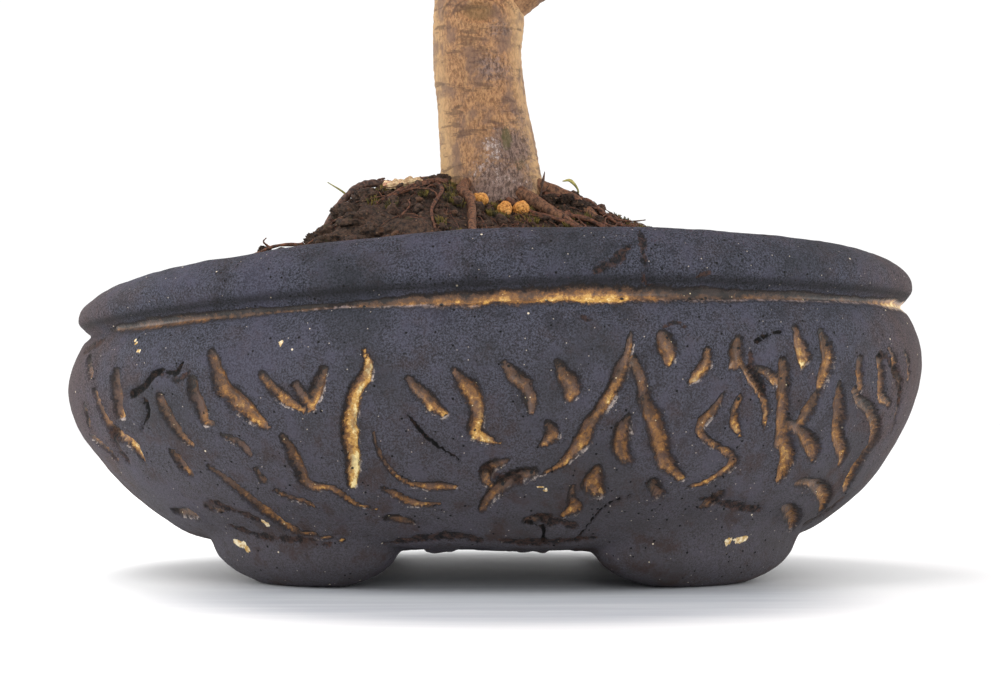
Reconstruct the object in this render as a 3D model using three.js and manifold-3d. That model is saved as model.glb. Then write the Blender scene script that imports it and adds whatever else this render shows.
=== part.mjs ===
// Deshojo Japanese maple bonsai in a hand-made oval stoneware pot on four feet.
// Millimetres, +Z up. The pot and tree are drawn round the middle of the pot at the level of its feet,
// and the whole is then shifted so that the origin is the bottom centre of the bounding box.
import * as THREE from "three";
import { mergeVertices } from "three/addons/utils/BufferGeometryUtils.js";
import Module from "manifold-3d";

const wasm = await Module();
wasm.setup();

const UP = new THREE.Vector3(0, 0, 1);
const CLEARANCE = 0.3;
const SEED = 20417;
const SIDES = { left: -1, right: 1 };

// Pot: the plan is a rounded oval, and each profile point is a share of that plan and a height.
const POT_HALF_WIDTH = 139.5;
const POT_HALF_DEPTH = 107;
const PLAN_POWER = 2.25;
const FLOOR_UNDERSIDE = 11;
const FLOOR_TOP = 20.5;
const POT_OUTSIDE = [
  [0.62, FLOOR_UNDERSIDE], [0.73, 14.5], [0.855, 27], [0.93, 40], [0.978, 52], [1, 64],
  [0.992, 73], [0.965, 80], [0.943, 83], [0.96, 86.2], [0.978, 91], [0.966, 97.5], [0.915, 103.3],
];
const MOUTH = 0.85;
const POT_INSIDE = [[0.862, 102], [MOUTH, 92], [0.9, 66], [0.86, 38], [0.68, FLOOR_TOP]];
const POT_SEGMENTS = 48;
// The hand-made rim stands higher at the right and in the middle of the long sides,
// and its roll above the groove is lower towards both ends.
const RIM_TILT = 0.036;
const RIM_ARCH = 4.5;
const WARP_FROM = 22;
const WARP_TO = 74;
const GROOVE_HEIGHT = 83;
const ROLL_DROP = 0.28;
const ROLL_TILT = 0.05;
const FOOT_HALF_SIZE = { left: [34, 18, 14.5], right: [37, 18, 14.5] };
const FOOT_CENTRE = { left: [-58.5, 50, 13], right: [61.5, 50, 13] };
const FOOT_TURN = THREE.MathUtils.degToRad(34);
const FOOT_TOP = 16.5;
const DRAIN_RADIUS = 10;
const DRAIN_OFFSET = 45;
const DRAIN_SIDES = 16;

// Mesh screens over the drain holes, each held by a wire staple.
const SCREEN_SIDE = 32;
const SCREEN_THICK = 1.2;
const SCREEN_HOLES = 3;
const SCREEN_BAR = 2;
const WIRE_RADIUS = 0.6;
const STAPLE_HALF_SPAN = 8;
const STAPLE_TOE = 15;
const SCREEN_DEPTH = 8;

// Soil: a low bed with the steep-sided root ball standing out of it.
const SOIL_LEVEL = 96;
const SOIL_WALL_GAP = 1.2;
const SOIL_FLOOR_GAP = 0.5;
const SOIL_SEGMENTS = 28;
// Shares of the mouth at which the soil's top is drawn.
const SOIL_RINGS = [0.97, 0.8, 0.64, 0.52, 0.42, 0.3];
const BALL_CENTRE = [-8, 4];
const BALL_RISE = 20;
const BALL_REACH = { left: 46, right: 54, deep: 46 };
const BALL_STEEPNESS = { left: 6, right: 2.6 };
const APRON_RISE = 12.5;
const APRON_REACH = { left: 82, right: 74, deep: 68 };
const SOIL_WAVE = 0.9;
// In front of the trunk, to the right, the root ball has been washed out.
const DIP_DEPTH = 11;
const DIP_CENTRE = [18, -30];
const DIP_REACH = [28, 22];

// Trunk stations: x, y, height, radius.
const TRUNK = [
  [-1, 4, 98, 17.5], [-1.2, 4, 128, 16.2], [-4.5, 4, 155, 14.7], [-6.4, 3, 178, 14.4],
  [-4.4, 1, 202, 13.4], [4, 0, 230, 11], [9, 3, 258, 9.4], [7, 8, 286, 8], [1, 10, 314, 6.6],
  [-4, 7, 342, 5.2], [-2, 4, 370, 3.8], [1, 4, 394, 2.6],
];
// Boughs: height on the trunk, compass angle from the right in degrees, length, rise in degrees.
const BOUGHS = [
  [186, -8, 98, 34], [214, 173, 96, 26], [234, 95, 78, 30], [250, -42, 82, 30],
  [266, 217, 82, 32], [284, 42, 80, 34], [300, 140, 76, 36], [314, 274, 66, 34],
  [332, 3, 60, 44], [346, 186, 58, 46], [360, 82, 46, 54], [372, 300, 42, 56],
];
const BOUGH_SAG = 5;
const BOUGH_SWAY = 16;
const BOUGH_TIP_RADIUS = 1.9;
const TWIG_RADIUS = 1.25;
// Shares of a bough's length at which a twig may leave it.
const TWIG_PLACES = [0.4, 0.55, 0.7, 0.85, 1];

// Crown: sprays stand evenly on an oval dome, from its top down to its lowest ring.
const CROWN_CENTRE = new THREE.Vector3(0, 4, 316);
const CROWN_REACH = new THREE.Vector3(168, 138, 152);
const LOWEST_LIFT = -0.36;
const GOLDEN_ANGLE = THREE.MathUtils.degToRad(137.508);
const SPRAYS = 28;
const SPRAY_DEPTH = 0.72;
const STEM_LENGTH = 7;
const BUD_RADIUS = 1.8;
const SHOOTS = 5;
const SHOOT_SPREAD = [THREE.MathUtils.degToRad(52), THREE.MathUtils.degToRad(68)];
const SHOOT_LENGTH = [26, 36];
const SHOOT_RADIUS = 0.75;
const PETIOLE = 9;
const PETIOLE_DROP = 1.5;
// Each shoot is drawn in every bend (radians) and share of its length, and the roomiest is kept.
const SHOOT_BENDS = [0, 0.25, -0.25, 0.5, -0.5];
const SHOOT_SHARES = [1, 0.86];
const WOOD_MARKS = 8;
// Shoots of one spray may share this much volume (cubic millimetres) where they leave the bud.
const MOST_SHARED = 2;
const BLADE_LENGTH = [25, 31];
const BLADE_THICK = 0.7;
const BLADE_DROOP = [THREE.MathUtils.degToRad(26), THREE.MathUtils.degToRad(60)];
const BLADE_ROLL = 0.35;
// Left half of the blade's outline: angle from the midrib in degrees, and share of the length.
const LOBES = [[84, 0.6], [58, 0.26], [42, 0.92], [20, 0.33]];
const LOBE_DROP = 0.16;
// The blade's points run from one side of its foot, by the middle tip, to the other side.
const BLADE_FACES = [
  [0, 1, 2], [2, 3, 4], [4, 5, 6], [6, 7, 8], [8, 9, 10], [0, 2, 10], [2, 4, 10], [4, 6, 10], [6, 8, 10],
];

// Surface roots: each a run of points (x, y, height above the soil), and a radius at each end.
const ROOTS = [
  { points: [[8, -8, 1], [22, -16, 0], [34, -22, -0.8], [46, -23, -1.8]], radii: [2.3, 0.9] },
  { points: [[10, -2, 1.6], [26, -6, 0], [38, -14, -0.6], [50, -12, -1.6]], radii: [2.5, 0.8] },
  { points: [[-9, -8, 2], [-11, -18, 1], [-8, -25, 1.1], [-6.8, -48, -1.2]], radii: [1.9, 1.1] },
  { points: [[-10, 0, 1.6], [-26, -4, 0], [-38, 0, -0.6], [-47, 4, -1.8]], radii: [2.7, 0.9] },
  { points: [[-4, 14, 2.4], [-14, 30, 0.6], [-26, 40, 0], [-34, 52, -1.8]], radii: [2.8, 1] },
  { points: [[8, 14, 2.4], [20, 28, 0.8], [26, 42, 0], [36, 50, -1.8]], radii: [2.8, 1] },
];
const LOOP_ROOT = [[-34, -14, 1], [-43, -18, 3], [-50, -21, 4], [-54, -24, 1], [-57, -27, -2]];
const LOOP_ROOT_RADIUS = 1.2;
// Feed pellets: x, y, radius.
const PELLETS = [[-4.9, -19, 2], [3.2, -22, 2.2], [8.2, -19, 2.4]];
// Small growths that stand in the soil: a name and a run of points (x, y, height above the soil).
const SPRIGS = {
  grass_blade: [[-45.5, -8, -2.5], [-49, -8, 6], [-55, -9, 16]],
  seedling: [[25.5, 1, -2.5], [27.5, 1, 2.5], [25, 0.5, 5.2], [22.3, 0.5, 4.4]],
  dry_sprig: [[14.5, -7.3, -2.5], [15.2, -7, 3], [16.2, -6.5, 8.2]],
};
const SPRIG_RADIUS = 0.45;
const CHIP_SIZE = [10.5, 4.6, 1.9];
const CHIP_PLACE = [-30, -18, 0.6];
const CHIP_TURN = 0.4;
const HOLE_GAP = 0.45;

// What each random draw decides, as its last key.
const DRAWS = { size: 11, roll: 23, spread: 31, length: 37, droop: 41, tilt: 43, blade: 47, sway: 71 };

// A number from 0 to 1 that depends only on the seed and the keys.
function draw(...keys) {
  let h = SEED;
  for (const key of keys) {
    h = Math.imul(h ^ (key + 1), 0x9e3779b1);
    h = (h ^ (h >>> 15)) >>> 0;
  }
  h = Math.imul(h, 0x85ebca6b);
  return ((h ^ (h >>> 13)) >>> 0) / 2 ** 32;
}

const mix = ([low, high], share) => low + (high - low) * share;

function smoothstep(from, to, value) {
  const t = THREE.MathUtils.clamp((value - from) / (to - from), 0, 1);
  return t * t * (3 - 2 * t);
}

// The same shape with one vertex at each corner, so that neighbouring faces share it.
function welded(geometry) {
  const bare = new THREE.BufferGeometry().setAttribute("position", geometry.getAttribute("position"));
  if (geometry.index) bare.setIndex(geometry.index);
  return mergeVertices(bare, 1e-4);
}

// A closed three.js geometry as a solid that can be joined and cut.
function solid(geometry) {
  const merged = welded(geometry);
  const corners = merged.index.array;
  const kept = [];
  for (let i = 0; i < corners.length; i += 3) {
    const [a, b, c] = corners.subarray(i, i + 3);
    if (a !== b && b !== c && c !== a) kept.push(a, b, c);
  }
  const vertProperties = merged.getAttribute("position").array;
  return new wasm.Manifold(new wasm.Mesh({ numProp: 3, vertProperties, triVerts: Uint32Array.from(kept) }));
}

function geometryOf(body) {
  const { numProp, vertProperties, triVerts } = body.getMesh();
  const spots = new Float32Array((vertProperties.length / numProp) * 3);
  for (let i = 0; i < spots.length / 3; i++) {
    spots.set(vertProperties.subarray(i * numProp, i * numProp + 3), i * 3);
  }
  return new THREE.BufferGeometry()
    .setAttribute("position", new THREE.BufferAttribute(spots, 3))
    .setIndex(new THREE.BufferAttribute(Uint32Array.from(triVerts), 1));
}

function move(shape, change) {
  const geometry = welded(shape);
  const spot = geometry.getAttribute("position");
  const point = new THREE.Vector3();
  for (let i = 0; i < spot.count; i++) {
    change(point.fromBufferAttribute(spot, i));
    spot.setXYZ(i, point.x, point.y, point.z);
  }
  return geometry;
}

const joined = (bodies) => bodies.reduce((all, body) => all.add(body));

// The largest of the separate bodies in a solid, which leaves out any loose scrap.
const largest = (body) => body.decompose().sort((a, b) => b.volume() - a.volume())[0];

// A round limb along a curve, whose radius follows its share of the curve's length.
// With something extra it is that much fatter and longer, which gives the hole that it stands in.
function limb(curve, radiusAt, sides, steps, extra = 0) {
  const shape = new THREE.CylinderGeometry(1, 1, 1, sides, steps);
  const { tangents, normals, binormals } = curve.computeFrenetFrames(steps);
  return solid(
    move(shape, (point) => {
      const share = point.y + 0.5;
      const step = Math.round(share * steps);
      const radius = radiusAt(share) + extra;
      const across = normals[step].clone().multiplyScalar(point.x * radius);
      across.addScaledVector(binormals[step], -point.z * radius);
      point.copy(curve.getPointAt(share)).add(across);
      if (step === 0) point.addScaledVector(tangents[step], -extra);
      if (step === steps) point.addScaledVector(tangents[step], extra);
    }),
  );
}

const smoothCurve = (points) => new THREE.CatmullRomCurve3(points, false, "catmullrom", 0.5);

const tapered = (start, end) => (share) => start + (end - start) * share;

// Distance from the pot's middle to its unit plan in a direction.
function planReach(angle) {
  const across = Math.abs(Math.cos(angle) / POT_HALF_WIDTH) ** PLAN_POWER;
  const deep = Math.abs(Math.sin(angle) / POT_HALF_DEPTH) ** PLAN_POWER;
  return (across + deep) ** (-1 / PLAN_POWER);
}

function rimWarp(x, z) {
  const share = x / POT_HALF_WIDTH;
  const roll = Math.max(0, z - GROOVE_HEIGHT) * (ROLL_TILT * share - ROLL_DROP * share ** 2);
  const arch = RIM_ARCH * (0.5 - share ** 2);
  return smoothstep(WARP_FROM, WARP_TO, z) * (RIM_TILT * x + arch) + roll;
}

// A lathe turned once round the pot's axis, then pulled out to the oval plan.
function oval(profile, segments, change) {
  const points = profile.map(([share, height]) => new THREE.Vector2(share, height));
  const turned = new THREE.LatheGeometry(points, segments).rotateX(Math.PI / 2);
  return move(turned, (point) => {
    const share = Math.hypot(point.x, point.y);
    if (share > 1e-6) {
      const reach = planReach(Math.atan2(point.y, point.x));
      point.x *= reach;
      point.y *= reach;
    }
    change(point, share);
  });
}

const warp = (point) => {
  point.z += rimWarp(point.x, point.z);
};

function drainPlug(side) {
  const plug = new THREE.CylinderGeometry(DRAIN_RADIUS, DRAIN_RADIUS, 2 * FLOOR_TOP, DRAIN_SIDES);
  return solid(plug.rotateX(Math.PI / 2).translate(side * DRAIN_OFFSET, 0, FLOOR_TOP));
}

function makeFoot(end, sideY) {
  const [x, y, z] = FOOT_CENTRE[end];
  const lump = new THREE.SphereGeometry(1, 10, 6).rotateX(Math.PI / 2).scale(...FOOT_HALF_SIZE[end]);
  lump.rotateZ(-FOOT_TURN * Math.sign(x) * sideY);
  lump.translate(x, y * sideY, z);
  const shelf = new THREE.BoxGeometry(2 * POT_HALF_WIDTH, 2 * POT_HALF_DEPTH, FOOT_TOP);
  return solid(lump).intersect(solid(shelf.translate(0, 0, FOOT_TOP / 2)));
}

function makePot() {
  const profile = [[0, FLOOR_UNDERSIDE], ...POT_OUTSIDE, ...POT_INSIDE, [0, FLOOR_TOP]];
  let pot = solid(oval(profile, POT_SEGMENTS, warp));
  for (const [end, side] of Object.entries(SIDES)) {
    pot = pot.add(makeFoot(end, -1)).add(makeFoot(end, 1)).subtract(drainPlug(side));
  }
  return pot;
}

function makeScreen(side) {
  const box = (wide, thick) => solid(new THREE.BoxGeometry(wide, wide, thick));
  const pitch = (SCREEN_SIDE - SCREEN_BAR) / SCREEN_HOLES;
  const opening = box(pitch - SCREEN_BAR, SCREEN_THICK * 2);
  let screen = box(SCREEN_SIDE, SCREEN_THICK);
  for (let i = 0; i < SCREEN_HOLES; i++) {
    for (let j = 0; j < SCREEN_HOLES; j++) {
      const shift = (place) => (place - (SCREEN_HOLES - 1) / 2) * pitch;
      screen = screen.subtract(opening.translate(shift(i), shift(j), 0));
    }
  }
  return screen.translate(side * DRAIN_OFFSET, 0, FLOOR_TOP + CLEARANCE + SCREEN_THICK / 2);
}

// The staple lies on the screen, goes down through it and the drain hole, and turns out under the floor.
function makeStaple(side) {
  const over = FLOOR_TOP + SCREEN_THICK + 2 * CLEARANCE + WIRE_RADIUS;
  const under = FLOOR_UNDERSIDE - CLEARANCE - WIRE_RADIUS;
  const route = new THREE.CurvePath();
  const corner = new THREE.Vector3();
  const bend = 2 * WIRE_RADIUS;
  const half = [[STAPLE_HALF_SPAN, over], [STAPLE_HALF_SPAN, under], [STAPLE_TOE, under]];
  const spots = [...half.map(([along, height]) => [-along, height]).reverse(), ...half];
  const line = spots.map(([along, height]) => new THREE.Vector3(side * DRAIN_OFFSET + along, 0, height));
  let from = line[0];
  for (let i = 1; i < line.length - 1; i++) {
    corner.copy(line[i]);
    const enter = corner.clone().add(line[i - 1].clone().sub(corner).setLength(bend));
    const leave = corner.clone().add(line[i + 1].clone().sub(corner).setLength(bend));
    route.add(new THREE.LineCurve3(from, enter));
    route.add(new THREE.QuadraticBezierCurve3(enter, corner.clone(), leave));
    from = leave;
  }
  route.add(new THREE.LineCurve3(from, line.at(-1)));
  return limb(route, () => WIRE_RADIUS, 4, 18);
}

function soilHeight(x, y) {
  const [ballX, ballY] = BALL_CENTRE;
  const end = x < ballX ? "left" : "right";
  const along = Math.abs(x - ballX);
  const across = Math.abs(y - ballY);
  const ball = Math.exp(-((along / BALL_REACH[end]) ** BALL_STEEPNESS[end]) - (across / BALL_REACH.deep) ** 4);
  const apron = Math.exp(-((along / APRON_REACH[end]) ** 4) - (across / APRON_REACH.deep) ** 4);
  const wave = Math.sin(x * 0.21 + y * 0.13) * Math.cos(y * 0.19 - x * 0.07);
  const [dipX, dipY] = DIP_CENTRE;
  const [dipWide, dipDeep] = DIP_REACH;
  const dip = Math.exp(-(((x - dipX) / dipWide) ** 4) - ((y - dipY) / dipDeep) ** 4);
  const mound = BALL_RISE * ball + APRON_RISE * apron - DIP_DEPTH * dip;
  return SOIL_LEVEL + RIM_TILT * x + mound + SOIL_WAVE * wave;
}

// The bed fills the inside of the pot, and its top rings are set to the soil's height.
function makeSoilBed() {
  const topMark = 1000;
  const inside = POT_INSIDE.slice(1).reverse();
  const top = [...SOIL_RINGS, 0].map((share) => [share * MOUTH, topMark]);
  const shape = oval([[0, FLOOR_TOP], ...inside, ...top], SOIL_SEGMENTS, (point, share) => {
    if (point.z >= topMark) {
      point.z = soilHeight(point.x, point.y);
      return;
    }
    const reach = Math.hypot(point.x, point.y);
    const inset = share > 0.01 ? 1 - SOIL_WALL_GAP / reach : 1;
    point.x *= inset;
    point.y *= inset;
    warp(point);
    point.z += SOIL_FLOOR_GAP;
  });
  return solid(shape);
}

const trunkCurve = smoothCurve(TRUNK.map(([x, y, z]) => new THREE.Vector3(x, y, z)));

function trunkRadius(height) {
  for (let i = 1; i < TRUNK.length; i++) {
    const [, , low, lowRadius] = TRUNK[i - 1];
    const [, , high, highRadius] = TRUNK[i];
    if (height <= high) return mix([lowRadius, highRadius], Math.max(0, (height - low) / (high - low)));
  }
  return TRUNK.at(-1)[3];
}

function trunkAt(height) {
  let low = 0;
  let high = 1;
  for (let i = 0; i < 24; i++) {
    const middle = (low + high) / 2;
    if (trunkCurve.getPoint(middle).z < height) low = middle;
    else high = middle;
  }
  return trunkCurve.getPoint(low);
}

// A bough leaves the trunk, sags a little and lifts towards its end.
function boughCurve([height, compass, length, rise], index) {
  const start = trunkAt(height);
  const turn = THREE.MathUtils.degToRad(compass);
  const lift = THREE.MathUtils.degToRad(rise);
  const out = new THREE.Vector3(Math.cos(turn), Math.sin(turn), 0);
  const side = new THREE.Vector3(-out.y, out.x, 0);
  const sway = (draw(index, DRAWS.sway) - 0.5) * BOUGH_SWAY;
  const spot = (share, sag, swing) =>
    start
      .clone()
      .addScaledVector(out, length * share * Math.cos(lift))
      .addScaledVector(side, sway * swing)
      .setZ(start.z + length * share * Math.sin(lift) - sag);
  const bends = [spot(0, 0, 0), spot(0.33, BOUGH_SAG * 0.6, 0.7), spot(0.68, BOUGH_SAG, -0.4), spot(1, 0, 0.3)];
  return smoothCurve(bends);
}

const boughCurves = BOUGHS.map(boughCurve);
const leader = smoothCurve(TRUNK.slice(-4).map(([x, y, z]) => new THREE.Vector3(x, y, z)));
const carriers = [...boughCurves, leader];

function boughRadius([height, , length]) {
  const thick = Math.min(trunkRadius(height) * 0.6, 0.6 + length * 0.08);
  return (share) => BOUGH_TIP_RADIUS + (thick - BOUGH_TIP_RADIUS) * (1 - share) ** 0.8;
}

// Where each spray stands on the dome, which way it faces, and its two sideways directions.
function sprayPlace(index) {
  const lift = 1 - ((index + 0.5) / SPRAYS) * (1 - LOWEST_LIFT);
  const turn = index * GOLDEN_ANGLE + 0.6;
  const ring = Math.sqrt(1 - lift * lift);
  const direction = new THREE.Vector3(ring * Math.cos(turn), ring * Math.sin(turn), lift);
  const size = SPRAY_DEPTH * (0.95 + 0.1 * draw(index, DRAWS.size));
  const hub = direction.clone().multiply(CROWN_REACH).multiplyScalar(size).add(CROWN_CENTRE);
  const outward = direction.clone().divide(CROWN_REACH).normalize();
  outward.z += 0.18;
  outward.normalize();
  const aside = new THREE.Vector3(-Math.sin(turn), Math.cos(turn), 0);
  const rise = new THREE.Vector3().crossVectors(outward, aside).normalize();
  return { hub, outward, aside, rise, lift };
}

// The place on the boughs from which a twig reaches the spray with the least bend and length.
function twigStart(foot) {
  let best = null;
  for (const carrier of carriers) {
    for (const share of TWIG_PLACES) {
      const spot = carrier.getPointAt(share);
      const away = foot.clone().sub(spot);
      const along = carrier.getTangentAt(share).dot(away.clone().normalize());
      const cost = away.length() * (1.7 - 0.7 * along);
      if (!best || cost < best.cost) best = { cost, spot, heading: carrier.getTangentAt(share) };
    }
  }
  return best;
}

function twigCurve(place) {
  const foot = place.hub.clone().addScaledVector(place.outward, -STEM_LENGTH);
  const { spot, heading } = twigStart(foot);
  const gap = foot.distanceTo(spot);
  const leaving = spot.clone().addScaledVector(heading, gap * 0.3);
  const arriving = foot.clone().addScaledVector(place.outward, -gap * 0.35);
  return new THREE.CubicBezierCurve3(spot, leaving, arriving, foot);
}

function onSoil([x, y, above]) {
  return new THREE.Vector3(x, y, soilHeight(x, y) + above);
}

function rootLimbs(extra) {
  const run = (points) => smoothCurve(points.map(onSoil));
  return ROOTS.map(({ points, radii }) => limb(run(points), tapered(...radii), 5, 3, extra));
}

function trunkLimb(extra) {
  return limb(trunkCurve, (share) => trunkRadius(trunkCurve.getPointAt(share).z), 10, 16, extra);
}

const twigRadius = tapered(BOUGH_TIP_RADIUS, TWIG_RADIUS);

function makeWood(twigs) {
  const bodies = [trunkLimb(0), ...rootLimbs(0)];
  bodies.push(...BOUGHS.map((bough, index) => limb(boughCurves[index], boughRadius(bough), 5, 4)));
  bodies.push(...twigs.map((twig) => limb(twig, twigRadius, 3, 2)));
  return joined(bodies);
}

// One palmate leaf on its petiole and shoot, drawn as a single closed mesh.
// Each ring of the shoot has three corners, and the last ring is the foot of the blade.
function leafyShoot({ path, tilt, length }) {
  const [from, knee, foot] = path;
  const { midrib, across, face } = tilt;
  const spots = [];
  const faces = [];
  const ring = (centre, side, above, radius) => {
    for (const [x, z] of [[-1, 0.6], [1, 0.6], [0, -1]]) {
      spots.push(centre.clone().addScaledVector(side, x * radius).addScaledVector(above, z * radius));
    }
  };
  const heading = knee.clone().sub(from).normalize();
  const side = new THREE.Vector3().crossVectors(heading, face).normalize();
  const above = new THREE.Vector3().crossVectors(side, heading);
  ring(from, side, above, SHOOT_RADIUS);
  ring(knee, side, above, SHOOT_RADIUS);
  const half = BLADE_THICK / 2;
  ring(foot, across, face, half);
  faces.push([0, 2, 1]);
  for (const start of [0, 3]) {
    for (let i = 0; i < 3; i++) {
      const next = (i + 1) % 3;
      faces.push([start + i, start + next, start + 3 + next], [start + i, start + 3 + next, start + 3 + i]);
    }
  }
  const left = LOBES.map(([angle, reach]) => [-THREE.MathUtils.degToRad(angle), reach]);
  const right = LOBES.map(([angle, reach]) => [THREE.MathUtils.degToRad(angle), reach]).reverse();
  const outline = [...left, [0, 1], ...right];
  const first = spots.length;
  for (const [angle, reach] of outline) {
    const isTip = reach > 0.5;
    const flat = foot
      .clone()
      .addScaledVector(across, Math.sin(angle) * reach * length)
      .addScaledVector(midrib, Math.cos(angle) * reach * length)
      .addScaledVector(face, isTip ? -LOBE_DROP * reach * length : 0);
    spots.push(flat.clone().addScaledVector(face, half), flat.clone().addScaledVector(face, -half));
  }
  const top = [6, ...outline.map((_, i) => first + 2 * i), 7];
  const bottom = [8, ...outline.map((_, i) => first + 2 * i + 1), 8];
  for (const [a, b, c] of BLADE_FACES) {
    faces.push([top[a], top[c], top[b]]);
    if (bottom[a] !== bottom[c]) faces.push([bottom[a], bottom[b], bottom[c]]);
  }
  for (let i = 0; i < top.length - 1; i++) {
    faces.push([top[i], top[i + 1], bottom[i + 1]], [top[i], bottom[i + 1], bottom[i]]);
  }
  const geometry = new THREE.BufferGeometry().setFromPoints(spots).setIndex(faces.flat());
  return solid(geometry);
}

// Where a shoot, its petiole and its blade lie when the shoot has a given bend and share of its length.
function shootPlan(index, shoot, place, bend, lengthShare) {
  const { hub, outward, aside, rise, lift } = place;
  const chance = (what) => draw(index, shoot, what);
  const roll = (shoot / (SHOOTS - 1) + draw(index, DRAWS.roll)) * 2 * Math.PI + bend;
  const lean = shoot === 0 ? bend * 0.6 : mix(SHOOT_SPREAD, chance(DRAWS.spread));
  const heading = outward
    .clone()
    .multiplyScalar(Math.cos(lean))
    .addScaledVector(aside, Math.cos(roll) * Math.sin(lean))
    .addScaledVector(rise, Math.sin(roll) * Math.sin(lean));
  const knee = hub.clone().addScaledVector(heading, mix(SHOOT_LENGTH, chance(DRAWS.length)) * lengthShare);
  const level = new THREE.Vector3(heading.x, heading.y, heading.z * 0.3).normalize();
  const foot = knee.clone().addScaledVector(level, PETIOLE);
  foot.z -= PETIOLE_DROP;
  const droop = mix(BLADE_DROOP, (1 - Math.max(0, lift)) * chance(DRAWS.droop));
  const midrib = level.clone().setZ(0).normalize().multiplyScalar(Math.cos(droop));
  midrib.z = -Math.sin(droop);
  const across = new THREE.Vector3().crossVectors(midrib, UP).normalize();
  across.applyAxisAngle(midrib, (2 * chance(DRAWS.tilt) - 1) * BLADE_ROLL + bend * 0.5);
  const face = new THREE.Vector3().crossVectors(across, midrib).normalize();
  const length = mix(BLADE_LENGTH, chance(DRAWS.blade));
  return { path: [hub, knee, foot], tilt: { midrib, across, face }, length };
}

// Points on a leafy shoot that stand for it when its distance from others is judged.
function markers({ path, tilt, length }) {
  const [hub, knee, foot] = path;
  const onBlade = (along, aside) =>
    foot.clone().addScaledVector(tilt.midrib, along * length).addScaledVector(tilt.across, aside * length);
  const blade = [onBlade(0.45, 0), onBlade(0.9, 0), onBlade(0.6, -0.55), onBlade(0.6, 0.55)];
  return [hub.clone().lerp(knee, 0.6), knee, foot, ...blade];
}

function room(plan, taken) {
  const spots = markers(plan);
  return Math.min(...taken.map((spot) => Math.min(...spots.map((own) => own.distanceTo(spot)))));
}

function boxesMeet(a, b, margin) {
  const p = a.boundingBox();
  const q = b.boundingBox();
  return [0, 1, 2].every((i) => p.min[i] - margin < q.max[i] && q.min[i] - margin < p.max[i]);
}

function isClear(body, others) {
  return others.every((other) => !boxesMeet(body, other, CLEARANCE) || body.minGap(other, 1) > CLEARANCE);
}

// A spray: a short stem, a bud where its shoots leave, and shoots that keep clear of all that stands.
function makeSpray(index, place, others, taken) {
  const { hub, outward } = place;
  const foot = hub.clone().addScaledVector(outward, CLEARANCE - STEM_LENGTH);
  const stem = limb(new THREE.LineCurve3(foot, hub), tapered(TWIG_RADIUS, 1), 4, 1);
  const bud = solid(new THREE.OctahedronGeometry(BUD_RADIUS, 0).translate(hub.x, hub.y, hub.z));
  const shoots = [];
  const tips = [];
  for (let shoot = 0; shoot < SHOOTS; shoot++) {
    const plans = SHOOT_SHARES.flatMap((share) =>
      SHOOT_BENDS.map((bend) => shootPlan(index, shoot, place, bend, share)),
    );
    const ranked = plans.map((plan) => ({ plan, space: room(plan, taken) })).sort((a, b) => b.space - a.space);
    taken.push(...markers(ranked[0].plan));
    for (const { plan } of ranked) {
      const body = leafyShoot(plan);
      const tip = largest(body.subtract(bud));
      const near = tips.filter((other) => boxesMeet(tip, other, 0));
      const shared = Math.max(0, ...near.map((other) => tip.intersect(other).volume()));
      if (shared > MOST_SHARED || !isClear(body, others)) continue;
      shoots.push(body);
      tips.push(tip);
      break;
    }
  }
  return joined([stem, bud, ...shoots]);
}

function makePellet([x, y, radius], index, extra) {
  const ball = new THREE.IcosahedronGeometry(radius + extra, 1);
  const lump = move(ball, (point) => {
    const bump = Math.sin(point.x * 2.1 + index) * Math.cos(point.y * 1.9) + Math.sin(point.z * 2.4);
    point.multiplyScalar(1 + 0.07 * bump);
  });
  return solid(lump.translate(x, y, soilHeight(x, y) + radius * 0.8));
}

function makeSprig(points, extra) {
  return limb(smoothCurve(points.map(onSoil)), () => SPRIG_RADIUS, 4, 4, extra);
}

function makeLoopRoot(extra) {
  return limb(smoothCurve(LOOP_ROOT.map(onSoil)), () => LOOP_ROOT_RADIUS, 5, 7, extra);
}

// A chip of old bark lies on the slope of the root ball.
function makeChip(extra) {
  const [x, y, above] = CHIP_PLACE;
  const step = 3;
  const fall = (soilHeight(x + step, y) - soilHeight(x - step, y)) / (2 * step);
  const tip = (soilHeight(x, y + step) - soilHeight(x, y - step)) / (2 * step);
  const chip = new THREE.BoxGeometry(...CHIP_SIZE.map((size) => size + 2 * extra));
  chip.rotateZ(CHIP_TURN).rotateX(Math.atan(tip)).rotateY(-Math.atan(fall));
  return solid(chip.translate(x, y, soilHeight(x, y) + above));
}

const material = (color, roughness, metalness = 0) =>
  new THREE.MeshStandardMaterial({ color, roughness, metalness });

const CLAY = material(0x33343a, 0.8);
const EARTH = material(0x3a2a1e, 0.95);
const BARK = material(0xa5845c, 0.75);
const RED_LEAF = material(0xb3202c, 0.55);
const PLASTIC = material(0x1d1f22, 0.6);
const WIRE = material(0xb8bcc2, 0.35, 1);
const FEED = material(0xd0852c, 0.8);
const ROOT_BROWN = material(0x4a2f22, 0.85);
const PALE_GREEN = material(0xa3ad6a, 0.7);
const STRAW = material(0xb59a72, 0.8);

const model = new THREE.Group();

function addNode(name, body, finish, tolerance = 0) {
  const tidy = tolerance > 0 ? largest(body.simplify(tolerance)) : body;
  const mesh = new THREE.Mesh(geometryOf(tidy), finish);
  mesh.name = name;
  model.add(mesh);
}

const places = Array.from({ length: SPRAYS }, (_, index) => sprayPlace(index));
const twigs = places.map(twigCurve);
const wood = makeWood(twigs);
const allPellets = (extra) => PELLETS.map((pellet, index) => makePellet(pellet, index, extra));

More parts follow.
